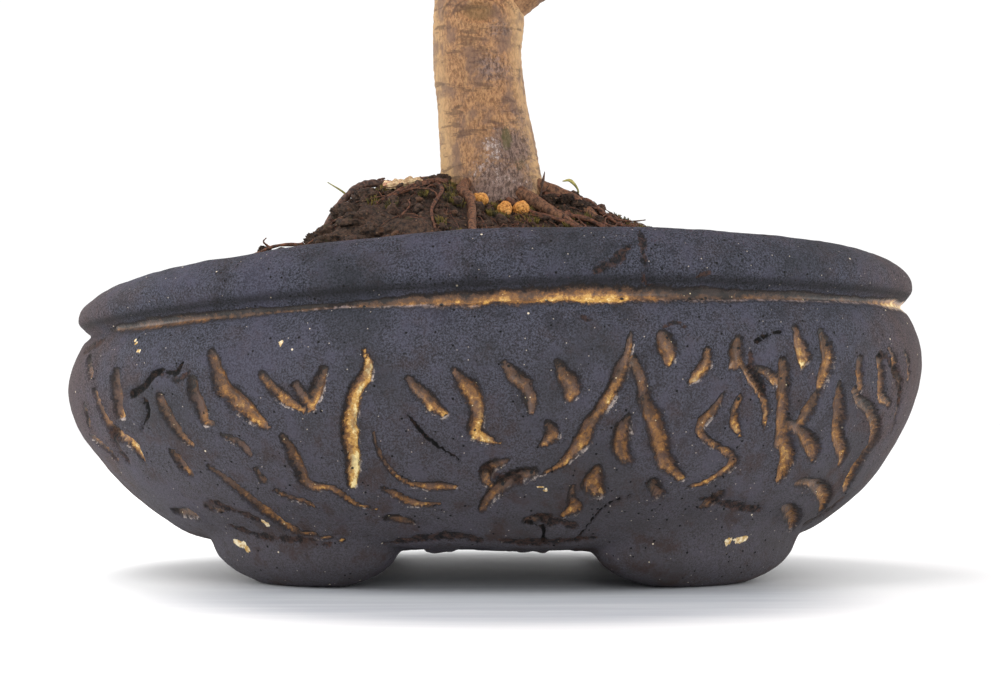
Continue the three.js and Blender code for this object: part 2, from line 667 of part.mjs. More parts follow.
// Whatever stands or lies in the soil has its own plain hole there, and so have the drain screens.
const soilHoles = [trunkLimb(HOLE_GAP), ...rootLimbs(HOLE_GAP), makeLoopRoot(HOLE_GAP), makeChip(HOLE_GAP)];
soilHoles.push(...Object.values(SPRIGS).map((run) => makeSprig(run, HOLE_GAP)), ...allPellets(HOLE_GAP));
for (const side of Object.values(SIDES)) {
  const pocket = new THREE.BoxGeometry(SCREEN_SIDE + 1, SCREEN_SIDE + 1, SCREEN_DEPTH);
  soilHoles.push(solid(pocket.translate(side * DRAIN_OFFSET, 0, FLOOR_TOP)));
}
const soil = makeSoilBed().subtract(joined(soilHoles));

addNode("pot", makePot(), CLAY, 0.05);
for (const [end, side] of Object.entries(SIDES)) {
  addNode(`drain_screen_${end}`, makeScreen(side), PLASTIC);
  addNode(`screen_wire_${end}`, makeStaple(side), WIRE);
}
addNode("soil", soil, EARTH, 0.15);
addNode("surface_root_loop", makeLoopRoot(0), ROOT_BROWN);
addNode("bark_chip", makeChip(0), STRAW);
for (const [name, run] of Object.entries(SPRIGS)) {
  addNode(name, makeSprig(run, 0), name === "dry_sprig" ? ROOT_BROWN : PALE_GREEN);
}
allPellets(0).forEach((pellet, index) => addNode(`feed_pellet_${index + 1}`, pellet, FEED));
addNode("trunk_and_boughs", wood, BARK, 0.15);

// The wood's middle line, as points that the shoots keep away from.
const taken = [...carriers, ...twigs].flatMap((curve) => curve.getSpacedPoints(WOOD_MARKS));
const others = [wood];
places.forEach((place, index) => {
  const spray = makeSpray(index, place, others, taken);
  others.push(spray);
  addNode(`leaf_spray_${String(index + 1).padStart(2, "0")}`, spray, RED_LEAF, 0.1);
});

const bounds = new THREE.Box3().setFromObject(model);
const middle = bounds.getCenter(new THREE.Vector3());
model.position.set(-middle.x, -middle.y, 0);

const bonsai = new THREE.Group();
bonsai.add(model);

export default bonsai;
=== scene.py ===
# %% [markdown]
# # A red maple bonsai in a footed stoneware pot
#
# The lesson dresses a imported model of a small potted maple. The frame gives the size and place of every
# piece, and each cell below replaces one plain solid with a finer one, or gives it a finish.
# Lengths are written in millimetres and turned into metres only when a mesh is made.

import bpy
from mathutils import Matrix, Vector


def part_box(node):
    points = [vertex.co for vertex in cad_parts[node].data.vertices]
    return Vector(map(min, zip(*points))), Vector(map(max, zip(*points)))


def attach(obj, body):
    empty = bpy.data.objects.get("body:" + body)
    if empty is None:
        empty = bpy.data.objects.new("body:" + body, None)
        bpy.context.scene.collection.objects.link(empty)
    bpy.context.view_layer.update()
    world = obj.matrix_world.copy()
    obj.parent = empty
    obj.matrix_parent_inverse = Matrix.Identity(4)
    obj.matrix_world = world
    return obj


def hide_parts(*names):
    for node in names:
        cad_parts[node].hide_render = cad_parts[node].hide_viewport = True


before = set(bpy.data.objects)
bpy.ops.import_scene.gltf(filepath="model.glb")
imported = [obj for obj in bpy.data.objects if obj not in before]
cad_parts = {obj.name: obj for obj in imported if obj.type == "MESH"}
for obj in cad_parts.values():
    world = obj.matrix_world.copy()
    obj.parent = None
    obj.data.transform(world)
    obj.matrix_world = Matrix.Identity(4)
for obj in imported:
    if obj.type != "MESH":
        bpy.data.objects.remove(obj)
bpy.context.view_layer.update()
print("frame nodes:", len(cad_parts))

# %% [markdown]
# ## Tools and units
#
# The frame's origin is the middle of the whole tree, and the pot stands a little beside it. Shapes are easier
# to draw round the pot's own middle, so the helpers below take such points and add that middle back.

# %% Tools and units
import math

import bmesh
import bpy
import numpy as np
from mathutils import Vector, noise
from mathutils.bvhtree import BVHTree

MM = 0.001
SEED = 20417


def middle_of(node):
    low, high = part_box(node)
    return (low + high) / 2 / MM


# The pot's middle lies halfway between its two drain screens, and shapes are drawn round that point.
screens = [middle_of(f"drain_screen_{end}") for end in ("left", "right")]
POT_MIDDLE = np.array([(screens[0].x + screens[1].x) / 2, screens[0].y, 0.0])
print("middle of the pot in the frame, mm:", POT_MIDDLE.round(3))

# %% [markdown]
# ## Camera
#
# The photograph was taken from in front, a little above the table. The eye level is the row of the picture
# where a level surface shows as a line, and the camera is pitched so that this row falls where it does there.

# %% Camera
PHOTO_SIZE = (1000, 696)
FOCAL_PIXELS = 2114
CAMERA_DISTANCE = 700
EYE_HEIGHT = 58
EYE_ROW = 395
POT_COLUMN = 495.5
SENSOR_WIDTH = 36

side_step = (PHOTO_SIZE[0] / 2 - POT_COLUMN) / FOCAL_PIXELS * CAMERA_DISTANCE
camera_spot = POT_MIDDLE + np.array([side_step, -CAMERA_DISTANCE, EYE_HEIGHT])
camera_pitch = math.atan2(EYE_ROW - PHOTO_SIZE[1] / 2, FOCAL_PIXELS)
bpy.ops.object.camera_add(location=camera_spot * MM, rotation=(math.pi / 2 + camera_pitch, 0, 0))
camera = bpy.context.object
camera.name = "photo_camera"
camera.data.sensor_width = SENSOR_WIDTH
camera.data.lens = SENSOR_WIDTH * FOCAL_PIXELS / PHOTO_SIZE[0]
bpy.context.scene.camera = camera
bpy.context.view_layer.update()
print("lens, mm:", round(camera.data.lens, 2))


def photo_ray(column, row):
    """Where a pixel of the photograph looks from, and its direction, in metres in the frame."""
    across = (column - PHOTO_SIZE[0] / 2) / FOCAL_PIXELS
    down = (row - PHOTO_SIZE[1] / 2) / FOCAL_PIXELS
    direction = camera.matrix_world.to_3x3() @ Vector((across, -down, -1))
    return camera.matrix_world.translation, direction.normalized()


# %% [markdown]
# ## Floor and light
#
# A pale board carries the pot. One large window would leave one end of the pot dark, and the photograph shows
# both ends as bright as its middle. So two softboxes hang above, behind and in front of the pot. One more
# lights each end, a low one fills the front, and a pale world softens every shadow.

# %% Floor and light
FLOOR_SIZE = 8000
ROOM_STRENGTH = 1.06
# Each softbox: where it stands, the spot that it faces, the length of its side, and its power in watts.
SOFTBOXES = {
    "window_above_behind": ((-260, 420, 1100), (0, 0, 90), 600, 7.0),
    "window_above_front": ((-420, -520, 1050), (0, 0, 90), 480, 4.5),
    "side_left": ((-950, -80, 300), (0, 0, 60), 500, 2.6),
    "side_right": ((950, -80, 300), (0, 0, 60), 500, 2.2),
    "fill_low_front": ((350, -1000, 160), (0, 0, 20), 500, 2.0),
}
scene = bpy.context.scene
scene.view_settings.view_transform = "Standard"

bpy.ops.mesh.primitive_plane_add(size=FLOOR_SIZE * MM, location=(0, 0, 0))
floor = bpy.context.object
floor.name = "floor_board"

world = bpy.data.worlds.new("pale_room")
scene.world = world
world.use_nodes = True
room = world.node_tree.nodes["Background"]
room.inputs["Color"].default_value = (1.0, 1.0, 1.0, 1.0)
room.inputs["Strength"].default_value = ROOM_STRENGTH


def soft_light(name, spot, aim, size, power):
    """A square softbox at a spot, turned to face its aim."""
    bpy.ops.object.light_add(type="AREA", location=Vector(spot) * MM)
    lamp = bpy.context.object
    lamp.name = name
    lamp.data.shape = "SQUARE"
    lamp.data.size = size * MM
    lamp.data.energy = power
    facing = Vector(aim) - Vector(spot)
    lamp.rotation_euler = facing.to_track_quat("-Z", "Y").to_euler()


for name, row in SOFTBOXES.items():
    soft_light(name, *row)
print("softboxes:", len(SOFTBOXES))

# %% [markdown]
# ## Hands for the work
#
# Small helpers select, edit and finish a piece. Every operator acts on what is selected, so each helper
# clears the selection first.

# %% Selecting and editing helpers


def pick(*pieces):
    bpy.ops.object.select_all(action="DESELECT")
    for piece in pieces:
        piece.select_set(True)
    bpy.context.view_layer.objects.active = pieces[-1]


def rows_of(items, field):
    """Three numbers of each vertex, one row each."""
    flat = np.empty(len(items) * 3)
    items.foreach_get(field, flat)
    return flat.reshape(-1, 3)


def raw_spots(piece):
    return rows_of(piece.data.vertices, "co")


def spots_of(piece):
    """The piece's vertices in millimetres round the pot's middle."""
    return raw_spots(piece) / MM - POT_MIDDLE


def set_spots(piece, spots):
    piece.data.vertices.foreach_set("co", ((spots + POT_MIDDLE) * MM).ravel())
    piece.data.update()


def outward_of(piece):
    return rows_of(piece.data.vertex_normals, "vector")


def note(piece, name, values):
    """Keeps one number per vertex on a piece, for its material to read."""
    layer = piece.data.attributes.new(name, "FLOAT", "POINT")
    layer.data.foreach_set("value", np.asarray(values, dtype=np.float32))


def noted(piece, name):
    values = np.empty(len(piece.data.vertices), dtype=np.float32)
    piece.data.attributes[name].data.foreach_get("value", values)
    return values


def new_piece(name, spots, faces):
    """A piece from points in millimetres round the pot's middle, and faces."""
    mesh = bpy.data.meshes.new(name)
    mesh.from_pydata(((np.asarray(spots) + POT_MIDDLE) * MM).tolist(), [], faces)
    mesh.update()
    piece = bpy.data.objects.new(name, mesh)
    bpy.context.scene.collection.objects.link(piece)
    return piece


def finish(piece, slot, material, *nodes):
    """Smooth shading, the material, the body it rides on and the nodes it stands for. The slot is not used.
    """
    pick(piece)
    bpy.ops.object.shade_smooth()
    piece.data.materials.clear()
    piece.data.materials.append(material)
    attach(piece, "root")
    if nodes:
        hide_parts(*nodes)
    print(f"{piece.name}: {len(piece.data.polygons)} faces")


# %% [markdown]
# ## Numbers that follow a rule
#
# Clay, soil and leaves need thousands of small chances. A random generator gives other numbers when the order
# of its calls changes. Here each number is worked out from its own keys, so every run grows the same tree.

# %% Numbers that follow a rule


def smoothstep(start, end, value):
    share = np.clip((value - start) / (end - start), 0, 1)
    return share * share * (3 - 2 * share)


def draw(*keys):
    """A number from 0 to 1 that depends only on the seed and the keys."""
    h = SEED
    for key in keys:
        h = ((h ^ (key + 1)) * 0x9E3779B1) & 0xFFFFFFFF
        h ^= h >> 15
    h = (h * 0x85EBCA6B) & 0xFFFFFFFF
    return (h ^ (h >> 13)) / 2**32


def wander(spots, size, key, detail=2):
    """Smooth noise from about -1 to 1 at each spot, with swells of about that size in millimetres."""
    away = Vector((key * 17.3, key * -5.1, key * 9.7))
    return np.array([noise.fractal(Vector(spot) / size + away, 1.0, 2.0, detail) for spot in spots])


# %% [markdown]
# ## Writing a finish as sums
#
# A finish is a tree of nodes. One small class wraps a socket, so that a mask can be written as a sum, and
# another adds any node by its type, its settings and its inputs. Colours are written as a screen shows them,
# with three parts from 0 to 255.

# %% Finishes as expressions


class Signal:
    """A socket that carries a number and takes part in sums."""

    def __init__(self, finish, socket):
        self.finish = finish
        self.socket = socket

    def __add__(self, other):
        return self.finish.maths("ADD", self, other)

    def __radd__(self, other):
        return self.finish.maths("ADD", other, self)

    def __sub__(self, other):
        return self.finish.maths("SUBTRACT", self, other)

    def __rsub__(self, other):
        return self.finish.maths("SUBTRACT", other, self)

    def __mul__(self, other):
        return self.finish.maths("MULTIPLY", self, other)

    def __rmul__(self, other):
        return self.finish.maths("MULTIPLY", other, self)

    def raised(self, start, end):
        """0 below the start, 1 above the end, smooth between."""
        ranges = {1: start, 2: end, 3: 0.0, 4: 1.0}
        settings = {"interpolation_type": "SMOOTHSTEP"}
        return self.finish.node("ShaderNodeMapRange", settings, {0: self, **ranges})


class Finish:
    """A material with one method that adds any node, and short names for the ones used most."""

    def __init__(self, name, **constants):
        self.material = bpy.data.materials.new(name)
        self.material.use_nodes = True
        self.tree = self.material.node_tree
        self.shader = self.tree.nodes["Principled BSDF"]
        self.place = self.node("ShaderNodeTexCoord", output="Object")
        for socket, value in constants.items():
            self.shader.inputs[socket.replace("_", " ")].default_value = value

    def node(self, kind, settings=None, inputs=None, output=0):
        made = self.tree.nodes.new(kind)
        for setting, value in (settings or {}).items():
            setattr(made, setting, value)
        for key, value in (inputs or {}).items():
            self.feed(made.inputs[key], value)
        return Signal(self, made.outputs[output])

    def maths(self, operation, *values):
        return self.node("ShaderNodeMath", {"operation": operation}, dict(enumerate(values)))

    def feed(self, target, value):
        if isinstance(value, Signal):
            self.tree.links.new(value.socket, target)
        elif isinstance(value, tuple) and target.type == "RGBA":
            target.default_value = (*linear(value), 1.0)
        else:
            target.default_value = value

    def out(self, **inputs):
        """Joins signals or colours to the shader's own sockets, and gives the material."""
        for socket, value in inputs.items():
            self.feed(self.shader.inputs[socket.replace("_", " ")], value)
        return self.material

    def mottle(self, size, detail=3.0, rough=0.55, stretch=(1, 1, 1)):
        """Noise from 0 to 1 with swells of a size in millimetres, on a place that may be stretched."""
        where = self.node("ShaderNodeMapping", None, {"Vector": self.place, "Scale": stretch})
        inputs = {"Vector": where, "Scale": 1 / (size * MM), "Detail": detail, "Roughness": rough}
        return self.node("ShaderNodeTexNoise", None, inputs)

    def dots(self, pitch, radius, share, key=0.0):
        """Scattered dots: one in each cell of a pitch, of a radius, both in mm, in a share of the cells."""
        away = (key, key * 1.7, key * 0.3)
        where = self.node("ShaderNodeMapping", None, {"Vector": self.place, "Location": away})
        inputs = {"Vector": where, "Scale": 1 / (pitch * MM)}
        cells = self.node("ShaderNodeTexVoronoi", None, inputs, "Distance")
        cell_middle = self.node("ShaderNodeTexVoronoi", None, inputs, "Position")
        chance = self.node("ShaderNodeTexWhiteNoise", None, {"Vector": cell_middle}, "Value")
        size = radius / pitch
        return (size * 1.4 - cells).raised(0, size * 0.5) * chance.raised(1 - share - 0.001, 1 - share)

    def kept(self, name):
        """A number that the piece keeps at each vertex."""
        return self.node("ShaderNodeAttribute", {"attribute_name": name}, None, "Fac")

    def blend(self, share, first, second):
        settings = {"data_type": "RGBA"}
        return self.node("ShaderNodeMix", settings, {0: share, 6: first, 7: second}, 2)

    def layered(self, tone, *layers):
        """A tone with other tones laid over it in turn, each given as its share and its colour."""
        for share, colour in layers:
            tone = self.blend(share, tone, colour)
        return tone

    def bump(self, height, depth):
        """A bump of a height from 0 to 1 that stands for a depth in millimetres."""
        inputs = {"Height": height, "Distance": depth * MM, "Strength": 1.0}
        return self.node("ShaderNodeBump", None, inputs)


def grained(name, roughness, size, edges, dark, light):
    """A plain finish whose fine grain runs from a dark to a light tone and stands out a little."""
    made = Finish(name, Roughness=roughness)
    grain = made.mottle(size, 3.0, 0.6)
    tone = made.blend(grain.raised(*edges), dark, light)
    return made.out(Base_Color=tone, Normal=made.bump(grain, 0.2))


def clouded(name, roughness, dark, light):
    """A plain finish whose tone drifts from a dark to a light one."""
    made = Finish(name, Roughness=roughness)
    return made.out(Base_Color=made.blend(made.mottle(2.4, 2.0, 0.5).raised(0.35, 0.65), dark, light))


def linear(colour):
    """A screen colour as the linear colour that a shader takes."""
    parts = [part / 255 for part in colour]
    return [part / 12.92 if part <= 0.04045 else ((part + 0.055) / 1.055) ** 2.4 for part in parts]


# %% [markdown]
# ## Finish of the floor board
#
# The board is white. Between and before the front feet, under the pot's front, a darker grey oval with faint
# streaks and a soft edge is a painted shadow, so that no lamp has to darken the whole board.

# %% Finish of the floor board
# Painted shadow: the shift and stretch of its oval, and the start and end of its soft edge, in mm.
PAINTED_SHADOW_SHIFT, PAINTED_SHADOW_STRETCH = 115, 1.2
PAINTED_SHADOW_EDGE = (65, 120)

board = Finish("pale_board", Roughness=0.5)
streaks = board.mottle(9, 4.0, 0.6, (0.1, 1, 1))
shift = {"Vector": board.place, "Location": (0, PAINTED_SHADOW_SHIFT * MM, 0), "Scale": (1, PAINTED_SHADOW_STRETCH, 1)}
from_front = board.node("ShaderNodeMapping", None, shift)
from_shadow_middle = board.node("ShaderNodeVectorMath", {"operation": "LENGTH"}, {0: from_front}, "Value")
edge_start, edge_end = (reach * MM for reach in PAINTED_SHADOW_EDGE)
# Painted shadow: the streaked grey tone inside the oval, and near white outside it.
tone = board.layered(
    board.blend(streaks.raised(0.35, 0.7), (187.5, 190.9, 197.3), (203.4, 206.4, 210.8)),
    (from_shadow_middle.raised(edge_start, edge_end), (251.1, 251.2, 251.4)),
)
floor.data.materials.append(board.out(Base_Color=tone))
print("the board's grey oval ends, mm from its middle:", PAINTED_SHADOW_EDGE[1])

# %% [markdown]
# ## The pot
#
# The pot was pinched and coiled by hand from coarse dark clay. Its plan is a rounded oval, so a lathe can
# make it: one profile is spun round the pot's axis, and each point is then pulled out to the oval. After that
# the rim is warped a little and the feet are pressed out of the underside.

# %% Shape of the pot
HALF_WIDTH = 139.5
HALF_DEPTH = 107
PLAN_POWER = 2.25
FLOOR_UNDERSIDE = 11
FLOOR_TOP = 20.5
FLAT_SHARE = 0.45
UNDERSIDE = [(FLAT_SHARE, FLOOR_UNDERSIDE), (0.62, FLOOR_UNDERSIDE)]
OUTSIDE = [
    (0.62, 11), (0.73, 14.5), (0.852, 27), (0.925, 40), (0.972, 52), (0.993, 64), (0.986, 73), (0.963, 80),
    (0.943, 83), (0.957, 86.2), (0.972, 91), (0.96, 97.5), (0.91, 103.0), (0.862, 101.6), (0.85, 92),
]
INSIDE = [(0.85, 92), (0.9, 66), (0.86, 38), (0.68, FLOOR_TOP), (FLAT_SHARE, FLOOR_TOP)]
RIM_TILT = 0.036
RIM_ARCH = 4.5
WARP_FROM, WARP_TO = 22, 74
GROOVE_HEIGHT = 83
ROLL_DROP = 0.35
ROLL_TILT = 0.05
POT_COLUMNS = 720


def plan_reach(angle):
    """Distance from the pot's middle to its widest outline, in a direction."""
    across = np.abs(np.cos(angle) / HALF_WIDTH) ** PLAN_POWER
    deep = np.abs(np.sin(angle) / HALF_DEPTH) ** PLAN_POWER
    return (across + deep) ** (-1 / PLAN_POWER)


def rim_warp(x, z):
    share = x / HALF_WIDTH
    roll = np.maximum(0, z - GROOVE_HEIGHT) * (ROLL_TILT * share - ROLL_DROP * share**2)
    return smoothstep(WARP_FROM, WARP_TO, z) * (RIM_TILT * x + RIM_ARCH * (0.5 - share**2)) + roll


def hermite(points, place):
    """A point on the smooth curve through points, at a place from 0 to 1 in equal steps per point."""
    points = np.asarray(points, float)
    spot = min(place * (len(points) - 1), len(points) - 1 - 1e-9)
    index = int(spot)
    t = spot - index
    before = points[index - 1] if index > 0 else 2 * points[0] - points[1]
    after = points[index + 2] if index + 2 < len(points) else 2 * points[-1] - points[-2]
    start, end = points[index], points[index + 1]
    leave, arrive = (end - before) / 2, (after - start) / 2
    a = 2 * start - 2 * end + leave + arrive
    b = 3 * end - 3 * start - 2 * leave - arrive
    return ((a * t + b) * t + leave) * t + start


def even_steps(points, pitch, smooth=True):
    """Points about a pitch apart along a curve or a line through (share, height) points."""
    fine = 40 * (len(points) - 1)
    if smooth:
        dense = np.array([hermite(points, i / fine) for i in range(fine + 1)])
    else:
        knots = np.linspace(0, 1, len(points))
        dense = np.stack([np.interp(np.linspace(0, 1, fine + 1), knots, part) for part in zip(*points)], 1)
    across = (HALF_WIDTH + HALF_DEPTH) / 2
    pace = np.hypot(np.diff(dense[:, 0]) * across, np.diff(dense[:, 1]))
    along = np.concatenate([[0], np.cumsum(pace)])
    marks = np.linspace(0, along[-1], max(2, round(along[-1] / pitch) + 1))
    return np.stack([np.interp(marks, along, part) for part in dense.T], 1)


profile = np.concatenate([
    even_steps(UNDERSIDE, 2.6, smooth=False)[:-1],
    even_steps(OUTSIDE, 1.27)[:-1],
    even_steps(INSIDE, 8, smooth=False),
])
print("rows of the pot:", len(profile))

# %% Spin the profile


def spun(name, rows, columns):
    """(share, height) rows turned once round the middle by a screw without lift, its seam merged."""
    mesh = bpy.data.meshes.new(name)
    points = [(share, 0, height) for share, height in rows]
    mesh.from_pydata(points, [(i, i + 1) for i in range(len(rows) - 1)], [])
    piece = bpy.data.objects.new(name, mesh)
    bpy.context.scene.collection.objects.link(piece)
    pick(piece)
    screw = piece.modifiers.new("turned_on_a_wheel", "SCREW")
    screw.steps = screw.render_steps = columns
    screw.use_merge_vertices = True
    screw.merge_threshold = 1e-5
    bpy.ops.object.modifier_apply(modifier=screw.name)
    return piece


def pulled_to_plan(lathe):
    """Lathe points, whose distance from the axis is a share of the plan, pulled out to the oval."""
    angle = np.arctan2(lathe[:, 1], lathe[:, 0])
    return np.stack([lathe[:, 0] * plan_reach(angle), lathe[:, 1] * plan_reach(angle), lathe[:, 2]], 1)


pot = spun("stoneware_pot", profile, POT_COLUMNS)
lathe = raw_spots(pot)
share = np.hypot(lathe[:, 0], lathe[:, 1])
spots = pulled_to_plan(lathe)
spots[:, 2] += rim_warp(spots[:, 0], spots[:, 2])
print("pot reaches, mm:", spots.min(0).round(1), spots.max(0).round(1))

# %% [markdown]
# ## Feet
#
# Each foot is a wide lump of clay pressed on under the pot, and its join was smeared flat. Where a lump lies
# lower than the wall, the wall is drawn down to it, with a soft corner between the two.

# %% Press out the feet
FOOT_HALF_SIZE = {-1: (34, 18, 14.5), 1: (37, 18, 14.5)}
FOOT_CENTRE = {-1: (-58.5, 50, 13), 1: (61.5, 50, 13)}
FOOT_TURN = math.radians(34)
FOOT_SOFTNESS = 2.2
SLOPE_BESIDE_FOOT = 40
HIGHEST_DRAWN = 30


def foot_underside(x, y, end, side):
    """Height of a foot's rounded lower face over a spot, and a slope that rises past its edge."""
    half_x, half_y, half_z = FOOT_HALF_SIZE[end]
    centre_x, centre_y, centre_z = FOOT_CENTRE[end]
    turn = -FOOT_TURN * end * side
    dx, dy = x - centre_x, y - centre_y * side
    along = (dx * math.cos(turn) + dy * math.sin(turn)) / half_x
    across = (dy * math.cos(turn) - dx * math.sin(turn)) / half_y
    reach = np.hypot(along, across)
    dome = centre_z - half_z * np.sqrt(np.clip(1 - reach**2, 0, 1))
    return np.maximum(0, np.where(reach < 1, dome, centre_z + (reach - 1) * SLOPE_BESIDE_FOOT))


def lower_of(first, second, softness):
    """The lower of two heights, with the corner between them rounded."""
    share = np.clip(0.5 + 0.5 * (second - first) / softness, 0, 1)
    return second + (first - second) * share - softness * share * (1 - share)


miss = (share[:, None] - profile[:, 0]) ** 2 * HALF_DEPTH**2 + (lathe[:, 2, None] - profile[:, 1]) ** 2
row = miss.argmin(1)
rim_row = profile[:, 1].argmax()
is_outer = row < rim_row
for end in (-1, 1):
    for side in (-1, 1):
        lump = foot_underside(spots[:, 0], spots[:, 1], end, side)
        drawn = np.minimum(lower_of(spots[:, 2], lump, FOOT_SOFTNESS), spots[:, 2])
        spots[:, 2] = np.where(is_outer & (spots[:, 2] < HIGHEST_DRAWN), drawn, spots[:, 2])
spots[:, 2] = np.maximum(spots[:, 2], 0)
set_spots(pot, spots)
note(pot, "profile_row", row)
print("lowest point of the feet, mm:", spots[:, 2].min().round(3))

# %% [markdown]
# ## Floor of the pot and its drain holes
#
# The spun skin is open in the middle, above and below. Each opening is filled round two circles, and each
# pair of circles is joined by a short wall, which leaves two clean drain holes.

# %% Fill the floor round the drain holes
DRAIN_RADIUS = 10
DRAIN_OFFSET = 45
DRAIN_SIDES = 32


def select_edges(piece, test):
    """Selects the open edges of a piece in edit mode whose two ends pass a test of their spot in mm."""
    bpy.ops.mesh.select_all(action="DESELECT")
    shape = bmesh.from_edit_mesh(piece.data)
    for edge in shape.edges:
        if len(edge.link_faces) < 2:
            ends = [np.array(v.co) / MM - POT_MIDDLE for v in edge.verts]
            edge.select_set(all(test(spot) for spot in ends))
    bmesh.update_edit_mesh(piece.data)


pick(pot)
bpy.ops.object.mode_set(mode="EDIT")
bpy.ops.mesh.select_mode(type="EDGE")
for height in (FLOOR_UNDERSIDE, FLOOR_TOP):
    for end in (-1, 1):
        hole = (POT_MIDDLE + [end * DRAIN_OFFSET, 0, height]) * MM
        bpy.ops.mesh.primitive_circle_add(vertices=DRAIN_SIDES, radius=DRAIN_RADIUS * MM, location=hole)
    select_edges(pot, lambda spot: abs(spot[2] - height) < 0.5)
    bpy.ops.mesh.fill(use_beauty=True)
for end in (-1, 1):
    select_edges(pot, lambda spot: math.hypot(spot[0] - end * DRAIN_OFFSET, spot[1]) < DRAIN_RADIUS + 0.5)
    bpy.ops.mesh.bridge_edge_loops()
bpy.ops.mesh.select_all(action="SELECT")
bpy.ops.mesh.normals_make_consistent(inside=False)
bpy.ops.object.mode_set(mode="OBJECT")


def open_edges(piece):
    shape = bmesh.new()
    shape.from_mesh(piece.data)
    count = sum(len(edge.link_faces) != 2 for edge in shape.edges)
    shape.free()
    return count


print("open edges of the pot:", open_edges(pot))

# %% [markdown]
# ## Gouged strokes
#
# The maker gouged short strokes into the leather-hard wall and let an ochre glaze pool in them. Each stroke
# is a path read off the photograph in pixels, with half its width in pixels. A ray through each pixel finds
# the spot on the wall, so that the stroke sits on the clay from every side. The back, which the photograph
# doesn't show, gets strokes of the same kind by a rule.

